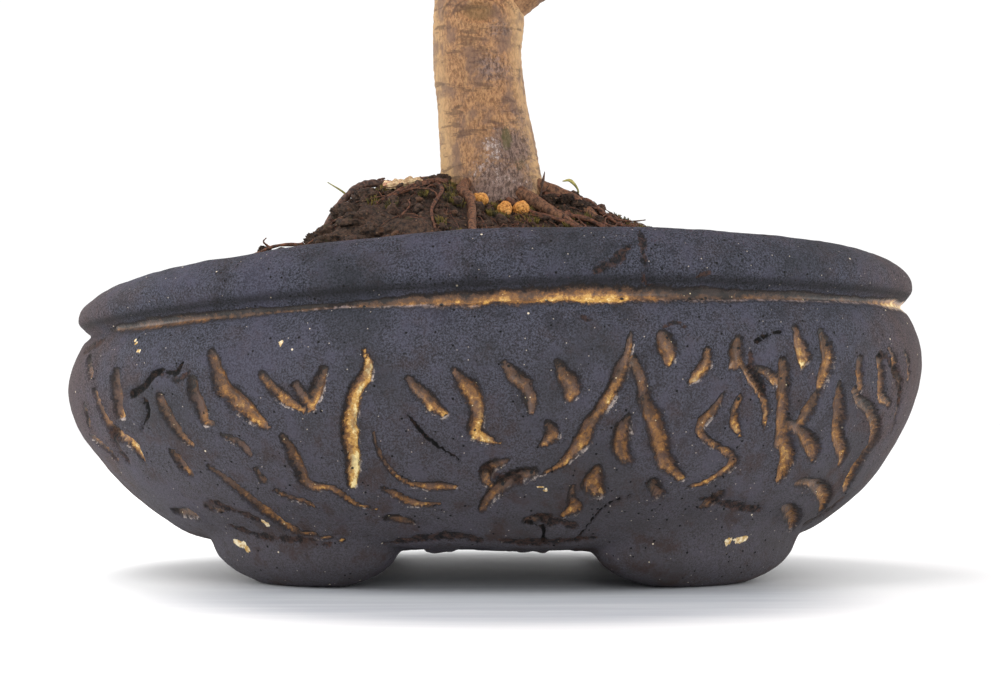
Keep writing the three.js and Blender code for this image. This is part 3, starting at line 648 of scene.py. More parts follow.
# %% Strokes seen in the photograph
# Each stroke: how golden its glaze is, from 0 for umber to about 1 for pale gold, and its points, as column,
# row and half width in pixels.
FRONT_STROKES = [
    (0.75, [(95, 391, 2.3), (101, 408, 3.6), (108, 423, 5), (121, 436, 5.3), (135, 446, 4.6),
        (146, 463, 1.5)]),
    (0.45, [(115, 373, 5), (117, 393, 6.6), (120, 413, 5.5)]),
    (0.6, [(85, 406, 2.2), (89, 416, 2.8), (90, 428, 1.4)]),
    (0.3, [(89, 360, 3.6), (92, 376, 3)]),
    (0.5, [(92, 436, 2.5), (101, 443, 4.1), (110, 450, 3.8), (117, 458, 2.8)]),
    (0.4, [(160, 398, 4.6), (164, 409, 5.8), (174, 426, 5), (181, 436, 4.6), (193, 446, 2.5)]),
    (0.45, [(172, 452, 3.4), (183, 466, 5), (191, 474, 2.8)]),
    (0.4, [(193, 380, 5), (195, 393, 6.6), (201, 408, 5.8), (205, 422, 4.4), (217, 424, 1.6)]),
    (0.55, [(212, 353, 4.4), (218, 370, 7.5), (223, 386, 9), (236, 401, 10.4), (251, 414, 8.6),
        (268, 428, 3)]),
    (0.3, [(222, 436, 2.8), (240, 444, 4.4), (250, 456, 2.6)]),
    (0.3, [(256, 470, 3), (263, 480, 4)]),
    (0.2, [(178, 512, 4.6), (193, 514, 6)]),
    (0.3, [(209, 506, 2.5), (223, 511, 2.3)]),
    (0.5, [(209, 467, 2.3), (226, 479, 4), (247, 496, 5), (267, 511, 5.4), (293, 529, 3.8), (316, 536, 2.8),
        (347, 541, 1.3)]),
    (0.55, [(282, 436, 3), (292, 452, 6.2), (300, 467, 6.2), (304, 480, 5.4), (314, 487, 4.6),
        (328, 487, 3.8), (342, 494, 3.8), (356, 504, 3), (378, 510, 1)]),
    (0.35, [(275, 490, 2), (290, 497, 3), (306, 502, 3), (316, 508, 1.4)]),
    (0.5, [(261, 375, 4.1), (274, 389, 6), (289, 402, 5), (305, 412, 3.2)]),
    (0.5, [(296, 386, 4.9), (305, 399, 6), (312, 409, 3.6)]),
    (0.5, [(324, 370, 4.9), (319, 384, 6), (314, 398, 6), (310, 410, 3)]),
    (1.14, [(364, 350, 2.8), (368, 362, 5.2), (365, 377, 7), (357, 389, 7.3), (352, 403, 7.6),
        (350, 419, 8.2), (351, 436, 8.4), (353, 455, 7.6), (353, 470, 6.4), (352, 485, 4)]),
    (0.6, [(409, 379, 4.7), (418, 390, 6.8), (431, 403, 7.4), (443, 413, 5.4)]),
    (0.75, [(454, 370, 3.2), (463, 381, 7.6), (472, 393, 10), (477, 406, 8.2), (477, 419, 7.4),
        (476, 431, 7.8), (487, 440, 4.7), (501, 443, 1.1)]),
    (0.4, [(373, 431, 1.3), (377, 447, 2.6), (386, 464, 2.7), (400, 478, 2.7), (417, 485, 3.1),
        (435, 487, 4.8), (455, 487, 3)]),
    (0.55, [(383, 488, 2.6), (399, 496, 4.5), (414, 503, 4.3), (431, 505, 2.4), (441, 504, 1)]),
    (0.3, [(391, 519, 5), (409, 522, 4.4)]),
    (0.45, [(504, 363, 3.8), (515, 377, 7.5), (526, 388, 8.6), (531, 400, 6.7), (531, 414, 3)]),
    (0.45, [(557, 362, 4.2), (565, 376, 8.4), (572, 387, 9.6), (569, 396, 7)]),
    (0.4, [(547, 424, 3.6), (553, 432, 7), (549, 440, 5.8), (540, 446, 2)]),
    (0.55, [(631, 334, 3.2), (628, 351, 4.6), (621, 369, 7.5), (614, 387, 7.8), (602, 407, 7.1),
        (590, 424, 6.7), (584, 439, 8.3), (573, 452, 5.8), (560, 465, 3.3), (543, 474, 1.8)]),
    (0.3, [(533, 473, 5.4), (516, 478, 8.8), (501, 487, 7), (489, 499, 5.8), (482, 510, 3.6)]),
    (0.5, [(633, 359, 4.1), (641, 378, 5.7), (645, 400, 7.2), (653, 418, 9.3), (658, 433, 9),
        (661, 450, 8.6), (667, 465, 7.8), (681, 478, 4.4)]),
    (0.55, [(686, 488, 1.6), (702, 484, 2.8), (719, 475, 3.2), (734, 464, 5.4), (728, 453, 4.2),
        (712, 444, 3.6), (700, 433, 3.8), (703, 422, 5), (713, 412, 5.2), (724, 394, 2.2)]),
    (0.4, [(628, 417, 4.4), (622, 430, 7.8), (620, 442, 8.7), (625, 458, 7.6)]),
    (0.6, [(597, 469, 5.2), (594, 481, 10.4), (598, 490, 8.8)]),
    (0.5, [(572, 487, 2.4), (572, 499, 4.3), (574, 508, 6.4), (562, 517, 2.4)]),
    (0.65, [(662, 335, 5.6), (668, 348, 10), (668, 363, 4.4)]),
    (0.6, [(707, 350, 4.1), (707, 361, 6.5), (699, 374, 5.9), (689, 384, 2.6)]),
    (0.35, [(653, 484, 6.4), (658, 494, 6.8)]),
    (0.3, [(706, 506, 3.6), (718, 497, 5.2)]),
    (0.45, [(507, 461, 2.6), (491, 467, 6.6), (485, 479, 5.8), (492, 487, 2)]),
    (0.25, [(530, 521, 5.6), (550, 517, 3.4)]),
    (0.55, [(738, 339, 4.4), (737, 351, 7.6), (738, 362, 7), (731, 366, 3)]),
    (0.75, [(745, 369, 3.8), (752, 380, 4.9), (761, 393, 4.1), (766, 408, 3.6), (765, 423, 2.8),
        (763, 432, 1)]),
    (0.75, [(741, 397, 3.2), (735, 411, 4.1), (736, 426, 4.8), (742, 438, 1.2)]),
    (0.5, [(757, 369, 3.8), (768, 373, 4.6), (776, 382, 6)]),
    (0.55, [(783, 362, 5), (785, 378, 6.5), (783, 393, 7), (783, 408, 6.5), (783, 424, 6.5), (783, 441, 7.2),
        (788, 457, 7), (784, 470, 6.5), (780, 480, 4)]),
    (0.85, [(796, 329, 3.9), (799, 343, 5.7), (804, 355, 7.6), (803, 366, 2.9)]),
    (0.5, [(821, 332, 3.8), (826, 346, 6.5), (828, 361, 7.2), (823, 376, 7), (819, 387, 3.6)]),
    (0.5, [(817, 394, 4.3), (809, 408, 7), (803, 420, 5.5), (798, 428, 4.5), (806, 438, 7.3), (813, 449, 7),
        (814, 459, 3.5)]),
    (0.35, [(787, 423, 4.6), (798, 427, 4.2)]),
    (0.6, [(839, 384, 3), (839, 403, 7), (839, 419, 7.2), (838, 436, 6), (843, 453, 5.4), (840, 466, 1.6)]),
    (0.4, [(859, 359, 3.8), (859, 375, 4.8), (860, 388, 2.6)]),
    (0.5, [(853, 389, 2.2), (859, 401, 4.1), (869, 410, 5), (874, 424, 5.5), (874, 438, 5.5),
        (866, 451, 5.5), (856, 466, 6), (849, 480, 4.7), (845, 492, 2)]),
    (0.6, [(879, 359, 3.8), (881, 380, 4.9), (880, 395, 4.2), (889, 404, 2.4)]),
    (0.65, [(889, 349, 2.2), (894, 360, 3.3), (896, 373, 3.2), (901, 383, 1.8)]),
    (0.65, [(905, 353, 2.8), (908, 366, 3.3), (908, 381, 1.6)]),
    (0.3, [(899, 388, 2), (898, 406, 2.2), (892, 430, 1.3)]),
    (0.5, [(798, 484, 3.6), (813, 484, 4.6), (821, 491, 6.3), (826, 499, 5), (820, 512, 1.8)]),
    (0.4, [(787, 508, 4.4), (793, 517, 6.3), (794, 525, 4.2)]),
    (0.3, [(721, 493, 4), (702, 507, 3.2)]),
]
# Bare cuts and torn places without glaze, and pale splashes of slip, as points of the same kind.
FRONT_CUTS = [
    [(405, 411, 1), (417, 427, 2), (432, 442, 2.3), (448, 453, 2), (459, 460, 0.9)],
    [(183, 362, 2), (174, 374, 3.4), (160, 370, 2.8), (150, 378, 3.6), (143, 388, 4), (131, 394, 3.6)],
    [(143, 397, 2), (147, 413, 2), (141, 430, 1.4)],
    [(756, 342, 2.6), (766, 335, 2.6), (782, 331, 1.8)],
    [(634, 495, 1), (610, 504, 1.3), (595, 517, 1.4), (577, 539, 1.2)],
    [(525, 524, 2.2), (543, 528, 2), (543, 544, 1.5)],
]
FRONT_TEARS = [
    [(596, 270, 5), (610, 264, 9), (622, 252, 6), (630, 246, 3)],
    [(640, 232, 3), (644, 250, 5), (643, 280, 3), (652, 286, 2)],
    [(697, 276, 3), (706, 274, 4), (712, 271, 2)],
    [(580, 314, 3), (590, 319, 4), (597, 316, 2)],
    [(664, 326, 3), (676, 322, 3), (686, 327, 2)],
    [(750, 352, 3), (752, 366, 5), (760, 380, 6), (766, 398, 3)],
    [(536, 518, 6), (556, 522, 8), (575, 526, 5)],
    [(385, 545, 3), (410, 541, 6), (455, 537, 8), (480, 542, 5)],
    [(500, 541, 4), (530, 543, 7), (566, 541, 6), (596, 538, 3)],
    [(232, 527, 3), (262, 536, 5), (300, 540, 5), (330, 544, 3)],
    [(486, 470, 6), (500, 478, 8), (520, 482, 5)],
    [(840, 500, 5), (826, 512, 6), (806, 524, 5)],
    [(112, 424, 4), (118, 447, 6), (128, 462, 3)],
    [(84, 352, 3), (96, 344, 5), (104, 340, 3)],
    [(158, 372, 4), (176, 380, 5), (190, 372, 3)],
    [(880, 352, 3), (896, 372, 5), (900, 402, 4)],
    [(700, 498, 4), (730, 505, 6), (760, 512, 4)],
    [(210, 500, 4), (240, 512, 5), (262, 522, 3)],
]
FRONT_SPLASHES = [
    [(235, 541, 2.4), (243, 545, 4), (251, 547, 4.3)],
    [(728, 541, 3.3), (733, 544, 4), (737, 540, 2.4), (745, 540, 2.8)],
    [(263, 521, 2.3), (267, 523, 2.7)],
    [(135, 341, 1.6), (137, 343, 1.6)],
    [(139, 351, 2.2), (140, 352, 2)],
    [(280, 344, 2.7), (282, 343, 2)],
    [(537, 488, 1.6), (546, 489, 2.4)],
]


bare_wall = BVHTree.FromObject(pot, bpy.context.evaluated_depsgraph_get())


def path_on_wall(pixels):
    """A stroke's points and half widths in millimetres, on the wall."""
    found = []
    for column, row_, half in pixels:
        for inward in range(0, 12, 2):
            source, direction = photo_ray(column + math.copysign(inward, POT_COLUMN - column), row_)
            spot, normal, _, away = bare_wall.ray_cast(source, direction)
            if spot:
                break
        facing = max(0.4, abs(normal.dot(direction))) ** 0.5
        found.append([*(np.array(spot) / MM - POT_MIDDLE), half * away / MM / FOCAL_PIXELS / facing])
    found = np.array(found)
    count = 3 * (len(found) - 1) + 1
    return np.array([hermite(found, i / (count - 1)) for i in range(count)])


strokes = [(glow, path_on_wall(pixels)) for glow, pixels in FRONT_STROKES]
cuts = [path_on_wall(pixels) for pixels in FRONT_CUTS]
tears = [path_on_wall(pixels) for pixels in FRONT_TEARS]
splashes = [path_on_wall(pixels) for pixels in FRONT_SPLASHES]
print("strokes in front:", len(strokes))

# %% Strokes on the back, by a rule
BACK_FROM, BACK_TO = math.radians(4), math.radians(176)
# Each row: the height of its strokes' tops, and their shortest and longest length.
STROKE_ROWS = [(74, 17, 27), (50, 14, 24)]
STROKE_PITCH = 15.5
STROKE_SLANT = 26
STROKE_HOOK = 14
STROKE_WIDTHS = (0.45, 0.95, 1.1, 1.0, 0.35)
TOP_SPREAD = 6
outer_profile = profile[: rim_row + 1]


def wall_spot(angle, height):
    """A spot on the wall below the groove, in a direction and at a height of the unwarped pot."""
    wall = outer_profile[outer_profile[:, 1] < GROOVE_HEIGHT]
    reach = np.interp(height, wall[:, 1], wall[:, 0]) * plan_reach(angle)
    x = reach * math.cos(angle)
    return np.array([x, reach * math.sin(angle), height + rim_warp(x, height)])


def back_stroke(angle, top, length, key):
    """One slash that falls and slants at a chance, thick in its middle."""
    slant = (draw(key, 1) - 0.5) * STROKE_SLANT
    hook = (draw(key, 2) - 0.5) * STROKE_HOOK
    half = 1.5 + 1.6 * draw(key, 3)
    reach = plan_reach(angle)
    points = []
    for step, width in enumerate(STROKE_WIDTHS):
        share_down = step / 4
        aside = slant * share_down + hook * math.sin(share_down * math.pi * 1.4)
        points.append([*wall_spot(angle + aside / reach, top - length * share_down), half * width])
    return np.array([hermite(points, i / 12) for i in range(13)])


key = 0
for top, shortest, longest in STROKE_ROWS:
    angle = BACK_FROM
    while angle < BACK_TO:
        key += 1
        start = top + TOP_SPREAD * (draw(key, 4) - 0.5)
        length = shortest + (longest - shortest) * draw(key, 5)
        strokes.append((0.3 + 0.5 * draw(key, 6), back_stroke(angle, start, length, key)))
        angle += STROKE_PITCH * (0.75 + 0.5 * draw(key, 7)) / plan_reach(angle)
print("strokes in all:", len(strokes))

# %% How near a path each spot lies
# Painted shade falls on the side of each stroke that faces this way, the upper left.
UPPER_LEFT = np.array([-0.45, 0.0, 0.9])


def nearness(spots, path):
    """For each spot: 1 on a path's middle and 0 at its edge, half its width, how far upper left it is."""
    best, width, above = np.full(len(spots), -1.0), np.ones(len(spots)), np.zeros(len(spots))
    for a, b in zip(path[:-1], path[1:]):
        run = b[:3] - a[:3]
        t = np.clip((spots - a[:3]) @ run / (run @ run + 1e-9), 0, 1)
        half = a[3] + (b[3] - a[3]) * t
        apart = spots - a[:3] - t[:, None] * run
        share_in = 1 - np.linalg.norm(apart, axis=1) / half
        closer = share_in > best
        best = np.where(closer, share_in, best)
        width = np.where(closer, half, width)
        above = np.where(closer, apart @ UPPER_LEFT / half, above)
    return best, width, above


def spread(spots, paths, ragged):
    """Nearness to the nearest path, half its width, its number, how far upper left, and how far down it."""
    found = np.tile([-1.0, 1.0, 0.0, 0.0, 0.5], (len(spots), 1))
    for index, path in enumerate(paths):
        margin = 2.2 * path[:, 3].max()
        low, high = path[:, :3].min(0), path[:, :3].max(0)
        near = np.flatnonzero(((spots > low - margin) & (spots < high + margin)).all(1))
        share_in, half, above = nearness(spots[near], path)
        share_in = share_in + ragged[near]
        down = np.clip((high[2] - spots[near, 2]) / (high[2] - low[2] + 2), 0, 1)
        closer = share_in > found[near, 0]
        own = np.stack([share_in, half, np.full(len(near), index), above, down], 1)
        found[near[closer]] = own[closer]
    return found.T


# %% [markdown]
# ## Carved wall
#
# A boolean cut for each stroke would leave sharp, clean edges, but pressed clay has raised, frayed lips. So
# each point of the fine skin moves along its normal, by how far inside a stroke, cut, tear or splash it lies.
# The same numbers are kept on the mesh, and the finish reads them.

# %% Carve the wall
STROKE_DEPTH = 0.72
DEEPEST_STROKE = 2.4
LIP_RISE = 0.5
CUT_DEPTH = 1.3
TEAR_DEPTH = 0.7
SPLASH_RISE = 0.4
EDGE_SHARE = 0.62
CHIP_DEPTH = 1.5
CHIP_HEIGHT = 17
FRAYED = {"stroke": 0.34, "cut": 0.45, "tear": 0.6, "splash": 0.35}
FLAT_OF_FEET = 0.6
BAND_END = (-112, -124)
ROLL_SHADE_HEIGHT, ROLL_SHADE_REACH = 87.4, 1.5
LIP_HIGHLIGHT_TO = 60
# Tables across the front: x in millimetres, and half the groove's glazed band in millimetres.
GROOVE_BAND = [
    (-140, 0.3), (-130, 0.9), (-118, 2.0), (-105, 2.1), (-80, 1.8), (-62, 1.1), (-42, 0.9), (-28, 1.5),
    (-14, 2.5), (25, 2.9), (50, 2.3), (80, 1.8), (112, 1.6), (133, 2.6),
]
# How golden the band's glaze is, and how strong the painted highlight along its lower lip is.
GROOVE_GLOW = [
    (-140, 0.0), (-112, 0.2), (-95, 0.3), (-80, 0.1), (-62, 0.05), (-30, 0.3), (-10, 0.8), (15, 0.95),
    (38, 0.8), (55, 0.1), (85, -0.1), (108, 0.1), (128, 1.5),
]
GROOVE_LIP_HIGHLIGHT = [
    (-140, 0), (-84, 0.1), (-62, 0.7), (-40, 1.0), (-20, 0.8), (0, 0.35), (45, 0.5), (90, 0.8), (115, 1.0),
]

spots = spots_of(pot)
normals = outward_of(pot)
rows = profile[np.rint(noted(pot, "profile_row")).astype(int)]
height = rows[:, 1]
on_wall = (noted(pot, "profile_row") <= rim_row) & (height > FLOOR_UNDERSIDE + 0.2)
swell = 0.5 * wander(spots, 34, 1) + 0.16 * wander(spots, 7, 2)
fray = wander(spots, 3.4, 3, 1)
coarse = wander(spots, 1.9, 5, 1)

stroke_paths = [path for _, path in strokes]
stroke_in, half, which, upper, down = spread(spots, stroke_paths, FRAYED["stroke"] * fray + 0.1 * coarse)
depth = np.minimum(DEEPEST_STROKE, STROKE_DEPTH * half) * smoothstep(-0.05, 0.6, stroke_in)
lip = LIP_RISE * np.exp(-(((stroke_in + 0.25) / 0.2) ** 2))
cut_in = spread(spots, cuts, FRAYED["cut"] * fray)[0]
tear_in = spread(spots, tears, FRAYED["tear"] * fray)[0]
splash_in = spread(spots, splashes, FRAYED["splash"] * fray)[0]
lift = swell + 0.05 * coarse + lip * (stroke_in > -0.99) - depth - CUT_DEPTH * smoothstep(0, 0.7, cut_in)
lift += SPLASH_RISE * smoothstep(0, 0.5, splash_in)
lift -= TEAR_DEPTH * smoothstep(-0.1, 0.5, tear_in) * (0.4 + 0.6 * smoothstep(-0.2, 0.2, coarse))
on_flat = spots[:, 2] < FLAT_OF_FEET
spots += normals * np.where(on_wall & ~on_flat, lift, 0.4 * swell * ~on_flat)[:, None]
on_edge = np.exp(-(((rows[:, 0] - EDGE_SHARE) / 0.05) ** 2)) * (height < CHIP_HEIGHT)
on_edge *= spots[:, 2] > FLOOR_UNDERSIDE - 1
spots[:, 2] += CHIP_DEPTH * on_edge * (smoothstep(0.0, 0.25, wander(spots, 10, 6, 1)) + 0.5 * fray)
spots[:, 2] = np.maximum(spots[:, 2], 0)
set_spots(pot, spots)

across = spots[:, 0]
groove_level = (height - GROOVE_HEIGHT - 0.2) / np.interp(across, *zip(*GROOVE_BAND))
groove_in = 1 - np.abs(groove_level) + 0.3 * wander(spots, 8, 4) + 0.22 * fray
groove_in = np.where(on_wall, groove_in - 1.6 * smoothstep(*BAND_END, across), -1)
stroke_glow = np.array([glow for glow, _ in strokes])[which.astype(int)] * 1.3 + 0.7 * (down - 0.6)
in_groove = groove_in > stroke_in
lip_band = np.exp(-(((groove_level + 0.8 + 0.15 * fray) / 0.34) ** 2))
note(pot, "glaze", np.clip(np.maximum(stroke_in, groove_in), -1, 1))
note(pot, "glow", np.where(in_groove, np.interp(across, *zip(*GROOVE_GLOW)), stroke_glow))
# Painted shade: the upper left side of each stroke, and the top of the groove's band, which the roll shades.
note(pot, "upper", np.where(in_groove, np.clip(groove_level + 0.1, -1, 1), upper))
# Painted highlight: a pale line along the groove's lower lip, on the front half.
note(pot, "groove_lip_highlight", np.interp(across, *zip(*GROOVE_LIP_HIGHLIGHT)) * lip_band * on_wall * (spots[:, 1] < LIP_HIGHLIGHT_TO))
note(pot, "in_groove", in_groove * 1.0)
# Painted shade in a thin band just under the rim's roll.
note(pot, "roll_shade", np.exp(-(((height - ROLL_SHADE_HEIGHT) / ROLL_SHADE_REACH) ** 2)) * on_wall)
note(pot, "cut", np.clip(cut_in, -1, 1))
note(pot, "torn", np.clip(tear_in, -1, 1))
note(pot, "slip", np.clip(splash_in, -1, 1))
note(pot, "low_down", np.clip(1 - height / GROOVE_HEIGHT, 0, 1))
note(pot, "endness", np.clip(np.abs(across) / HALF_WIDTH, 0, 1.1))
print("deepest stroke, mm:", depth.max().round(2))

# %% [markdown]
# ## Finish of the pot
#
# The clay is matte charcoal with a bluish cast, browner low down and at the ends, with a fine grit, pale
# specks of grog, dark pits and painted shade in a band under the rim's roll. The glaze is umber where it is
# thin, ochre where it pools and pale gold, as a painted highlight, on the thickest spots, and it is glossy,
# with pinholes.

# %% Stoneware
clay = Finish("dark_stoneware", Specular_IOR_Level=0.3, Coat_Roughness=0.2)
grit = clay.mottle(0.55, 3.0, 0.8)
patches = clay.mottle(8, 4.0, 0.65)
clouds = clay.mottle(38, 3.0, 0.5)
rust = clay.mottle(13, 4.0, 0.7)
low_down = clay.kept("low_down")
at_ends = (clay.kept("endness") + (rust - 0.5) * 0.35).raised(0.72, 0.98)
small_specks = clay.dots(2.3, 0.17, 0.34, 3.1)
specks = clay.dots(5.2, 0.27, 0.22)
pits = clay.dots(2.6, 0.3, 0.4, 7.7)
charcoal = clay.layered(
    clay.blend(grit.raised(0.35, 0.65), (15, 16, 20), (74, 75, 88)),
    (patches.raised(0.5, 0.68) * 0.55, (68, 67, 82)),
    (patches.raised(0.32, 0.46) * -0.5 + 0.5, (24, 24, 29)),
    (clouds.raised(0.48, 0.62) * 0.5, (34, 36, 40)),
    (clouds.raised(0.3, 0.42) * -0.3 + 0.3, (72, 70, 88)),
    (low_down * 0.45, (92, 84, 84)),
    (rust.raised(0.5, 0.68) * (0.15 + 0.7 * low_down), (58, 42, 36)),
    (at_ends * 0.75, clay.blend(grit.raised(0.38, 0.62), (44, 34, 34), (88, 70, 68))),
    (small_specks * 0.75, (170, 160, 150)),
    (specks * 0.9, (222, 208, 184)),
    (pits, (7, 6, 7)),
    # Painted shade under the rim's roll.
    (clay.kept("roll_shade") * 0.75, (10, 9, 9)),
)
print("nodes of the clay:", len(clay.tree.nodes))

# %% [markdown]
# ## Glaze in the gouges
#
# Glaze pools on the low side of each gouge and breaks to umber at its rim. The upper left side of each gouge
# and a dark ring round it are partly thin glaze and partly painted shade, a pale band on its lower edge is a
# painted highlight, and the top of the groove's band gets painted shade under the roll. A plain gradient
# would look painted, so the stroke's own share of gold is mixed with pools of two sizes, and its outline is
# frayed.

# %% Glaze in the gouges
fringe = clay.mottle(1.2, 4.0, 0.75) - 0.5
pool = clay.mottle(1.9, 4.0, 0.72)
long_pool = clay.mottle(7.5, 2.0, 0.5)
mauve = clay.mottle(5.5, 3.0, 0.6, (1.3, 1, 0.8))
pinholes = clay.dots(3.4, 0.46, 0.3, 11.3)
groove_share, shaded_upper_side = clay.kept("in_groove"), clay.kept("upper")
glaze_in = clay.kept("glaze") + fringe * 1.25
thick = glaze_in.raised(0.0, 0.7)
warmth = clay.kept("glow") - 0.02 + (pool - 0.5) * 2.6 + (long_pool - 0.5) * 1.6 + (thick - 0.5) * 0.6
# Painted shade on the upper left side of each gouge and the top of the groove's band, partly glaze that runs
# thin there.
warmth = warmth - 0.7 * shaded_upper_side.raised(-0.5, 0.7)
# Painted highlight along the groove's lower lip.
groove_lip_highlight = (clay.kept("groove_lip_highlight") + fringe * 1.6).raised(0.35, 0.85)
glaze = clay.layered(
    clay.blend(warmth.raised(-0.3, 0.35), (24, 17, 13), (84, 58, 38)),
    (warmth.raised(0.4, 0.95), (140, 96, 48)),
    (warmth.raised(0.95, 1.3), (202, 154, 78)),
    # Painted highlight: near white pale gold on the warmest, thickest spots.
    (warmth.raised(1.35, 1.75), (250, 228, 164)),
    (mauve.raised(0.48, 0.6) * (0.5 - 0.35 * groove_share), (96, 74, 66)),
    ((0.42 - glaze_in).raised(0.0, 0.4) * 0.7, (48, 33, 25)),
    (groove_lip_highlight * 0.7, (146, 130, 128)),
    (pinholes, (8, 6, 5)),
    (small_specks * 0.8, (232, 214, 170)),
)
# Painted highlight: a pale band along the lower edge of each gouge, where its lip would catch the light.
lit_lower_edge = (fringe * 2.0 - shaded_upper_side).raised(0.4, 0.9)
lip_highlight = lit_lower_edge * glaze_in.raised(-0.25, 0.0) * (0.4 - glaze_in).raised(0.0, 0.25)
lip_highlight = lip_highlight * (1 - groove_share) * long_pool.raised(0.47, 0.56) * pool.raised(0.4, 0.55)
glazed = glaze_in.raised(-0.12, 0.42)
# A dark ring round each gouge, strongest on its upper left: partly glaze that breaks thin, partly painted
# shade.
shade_halo = glaze_in.raised(-0.36, 0.05) * (0.3 + 0.6 * shaded_upper_side.raised(-0.3, 0.6))
surface = clay.layered(charcoal, (shade_halo, (22, 17, 15)), (glazed, glaze), (lip_highlight * 0.85, (196, 182, 174)))
print("nodes with the glaze:", len(clay.tree.nodes))

# %% Torn clay, cracks and slip
torn = (clay.kept("torn") + fringe * 1.6).raised(0.1, 0.6)
torn_tone = clay.blend(pool.raised(0.42, 0.58), (10, 8, 8), (64, 44, 36))
torn_tone = clay.blend(pool.raised(0.64, 0.72), torn_tone, (112, 80, 58))
crack = (clay.kept("cut") + fringe * 0.9).raised(0.0, 0.3)
slip_in = (clay.kept("slip") + fringe * 0.9).raised(0.0, 0.12)
surface = clay.layered(
    surface,
    (torn * 0.85, torn_tone),
    (crack, clay.blend(pool.raised(0.5, 0.62), (5, 4, 5), (46, 32, 26))),
    (slip_in, clay.blend(pool.raised(0.4, 0.6), (186, 148, 80), (236, 222, 190))),
)
shine = glazed * (1 - torn) * (0.12 + 0.3 * thick)
roughness = 0.85 - 0.3 * glazed
relief = grit * 0.25 + fringe * (0.4 + 0.4 * torn) + pool * glazed * 0.6 - pits * 0.35 - pinholes * 0.5
relief = clay.bump(relief, 0.9)
stoneware = clay.out(Base_Color=surface, Roughness=roughness, Coat_Weight=shine, Normal=relief)
finish(pot, "stoneware", stoneware, "pot")

# %% [markdown]
# ## Curves, tubes and gathered shapes
#
# Roots, trunk and boughs are tubes along a smooth curve. A curve is a rule from a place to a point, measured
# once so that its length can be shared out evenly. Many small shapes are gathered into one mesh.

# %% Curves
ARC_STEPS = 200


def unit(vector):
    return vector / np.linalg.norm(vector)


def unit_rows(rows):
    return rows / np.linalg.norm(rows, axis=1)[:, None]


def turned(vector, axis, angle):
    """A vector turned about a unit axis."""
    along = axis * (axis @ vector)
    return vector * math.cos(angle) + np.cross(axis, vector) * math.sin(angle) + along * (1 - math.cos(angle))


def tapered(start, end):
    return lambda share: start + (end - start) * share


class Curve:
    """A curve given by a rule from a place to a point, and measured so that its length can be shared out."""

    def __init__(self, rule):
        self.rule = rule
        dense = np.array([rule(i / ARC_STEPS) for i in range(ARC_STEPS + 1)])
        pace = np.linalg.norm(np.diff(dense, axis=0), axis=1)
        self.along = np.concatenate([[0], np.cumsum(pace)])
        self.length = self.along[-1]

    def place(self, share):
        return np.interp(share * self.length, self.along, np.linspace(0, 1, ARC_STEPS + 1))

    def at(self, share):
        return self.rule(float(self.place(share)))

    def heading(self, share):
        middle = float(self.place(share))
        ahead, behind = min(1, middle + 1e-4), max(0, middle - 1e-4)
        return unit(self.rule(ahead) - self.rule(behind))

    def spaced(self, count):
        return [self.at(i / count) for i in range(count + 1)]


def smooth_curve(points):
    return Curve(lambda place: hermite(points, place))


# %% Tubes
FOOT_CAP, TIP_CAP = 0.2, 0.6


def tube(curve, radius_at, sides, steps, shape=None):
    """Points and faces of a closed limb. A shape may add to the radius by angle, share and middle."""
    marks = curve.spaced(steps)
    heads = [curve.heading(i / steps) for i in range(steps + 1)]
    side = unit(np.cross(heads[0], (0.0, 1.0, 0.0) if abs(heads[0][1]) < 0.9 else (1.0, 0.0, 0.0)))
    angles = np.arange(sides) * 2 * math.pi / sides
    rings = []
    for step, (spot, heading) in enumerate(zip(marks, heads)):
        side = unit(side - heading * (side @ heading))
        up = np.cross(heading, side)
        around = np.outer(np.cos(angles), side) + np.outer(np.sin(angles), up)
        radius = np.full(sides, radius_at(step / steps))
        if shape:
            radius = radius + shape(spot + around * radius[:, None], around, step / steps)
        rings.append(spot + around * radius[:, None])
    rings.append([marks[0] - heads[0] * FOOT_CAP, marks[-1] + heads[-1] * radius_at(1) * TIP_CAP])
    first, last, top = (steps + 1) * sides, (steps + 1) * sides + 1, steps * sides
    faces = []
    for i in range(sides):
        j = (i + 1) % sides
        faces += [(k + i, k + j, k + j + sides, k + i + sides) for k in range(0, top, sides)]
        faces += [(first, j, i), (last, top + i, top + j)]
    return np.concatenate(rings), faces


def stalk(points, radii, sides=5):
    """A thin closed tube along a few points, with a radius at each."""
    points = np.asarray(points, float)
    runs = np.gradient(points, axis=0)
    angles = np.arange(sides) * 2 * math.pi / sides
    rings = []
    for spot, run, radius in zip(points, runs, radii):
        heading = unit(run)
        side = unit(np.cross(heading, (0.31, 0.17, 0.94)))
        up = np.cross(heading, side)
        rings.append(spot + radius * (np.outer(np.cos(angles), side) + np.outer(np.sin(angles), up)))
    top = (len(points) - 1) * sides
    faces = [tuple(range(sides))[::-1], tuple(range(top, top + sides))]
    for i in range(sides):
        j = (i + 1) % sides
        faces += [(k + i, k + j, k + j + sides, k + i + sides) for k in range(0, top, sides)]
    return np.concatenate(rings), faces


def gathered(parts):
    """Several shapes as the points and faces of one."""
    points, faces = [], []
    count = 0
    for part_points, part_faces in parts:
        points.append(part_points)
        faces += [tuple(corner + count for corner in face) for face in part_faces]
        count += len(part_points)
    return np.concatenate(points), faces


def shape_of(piece):
    """A piece's points in its own units, and its faces. The piece itself is then deleted."""
    points = raw_spots(piece)
    faces = [tuple(face.vertices) for face in piece.data.polygons]
    bpy.data.objects.remove(piece)
    return points, faces


# %% [markdown]
# ## Soil
#
# The soil is a low bed with the steep root ball standing out of it. A profile is turned and pulled to the
# pot's inside, and its top is then lifted to a height that is worked out for each spot. Clods come from noise
# whose sign is dropped, which gives round lumps with sharp creases between them.

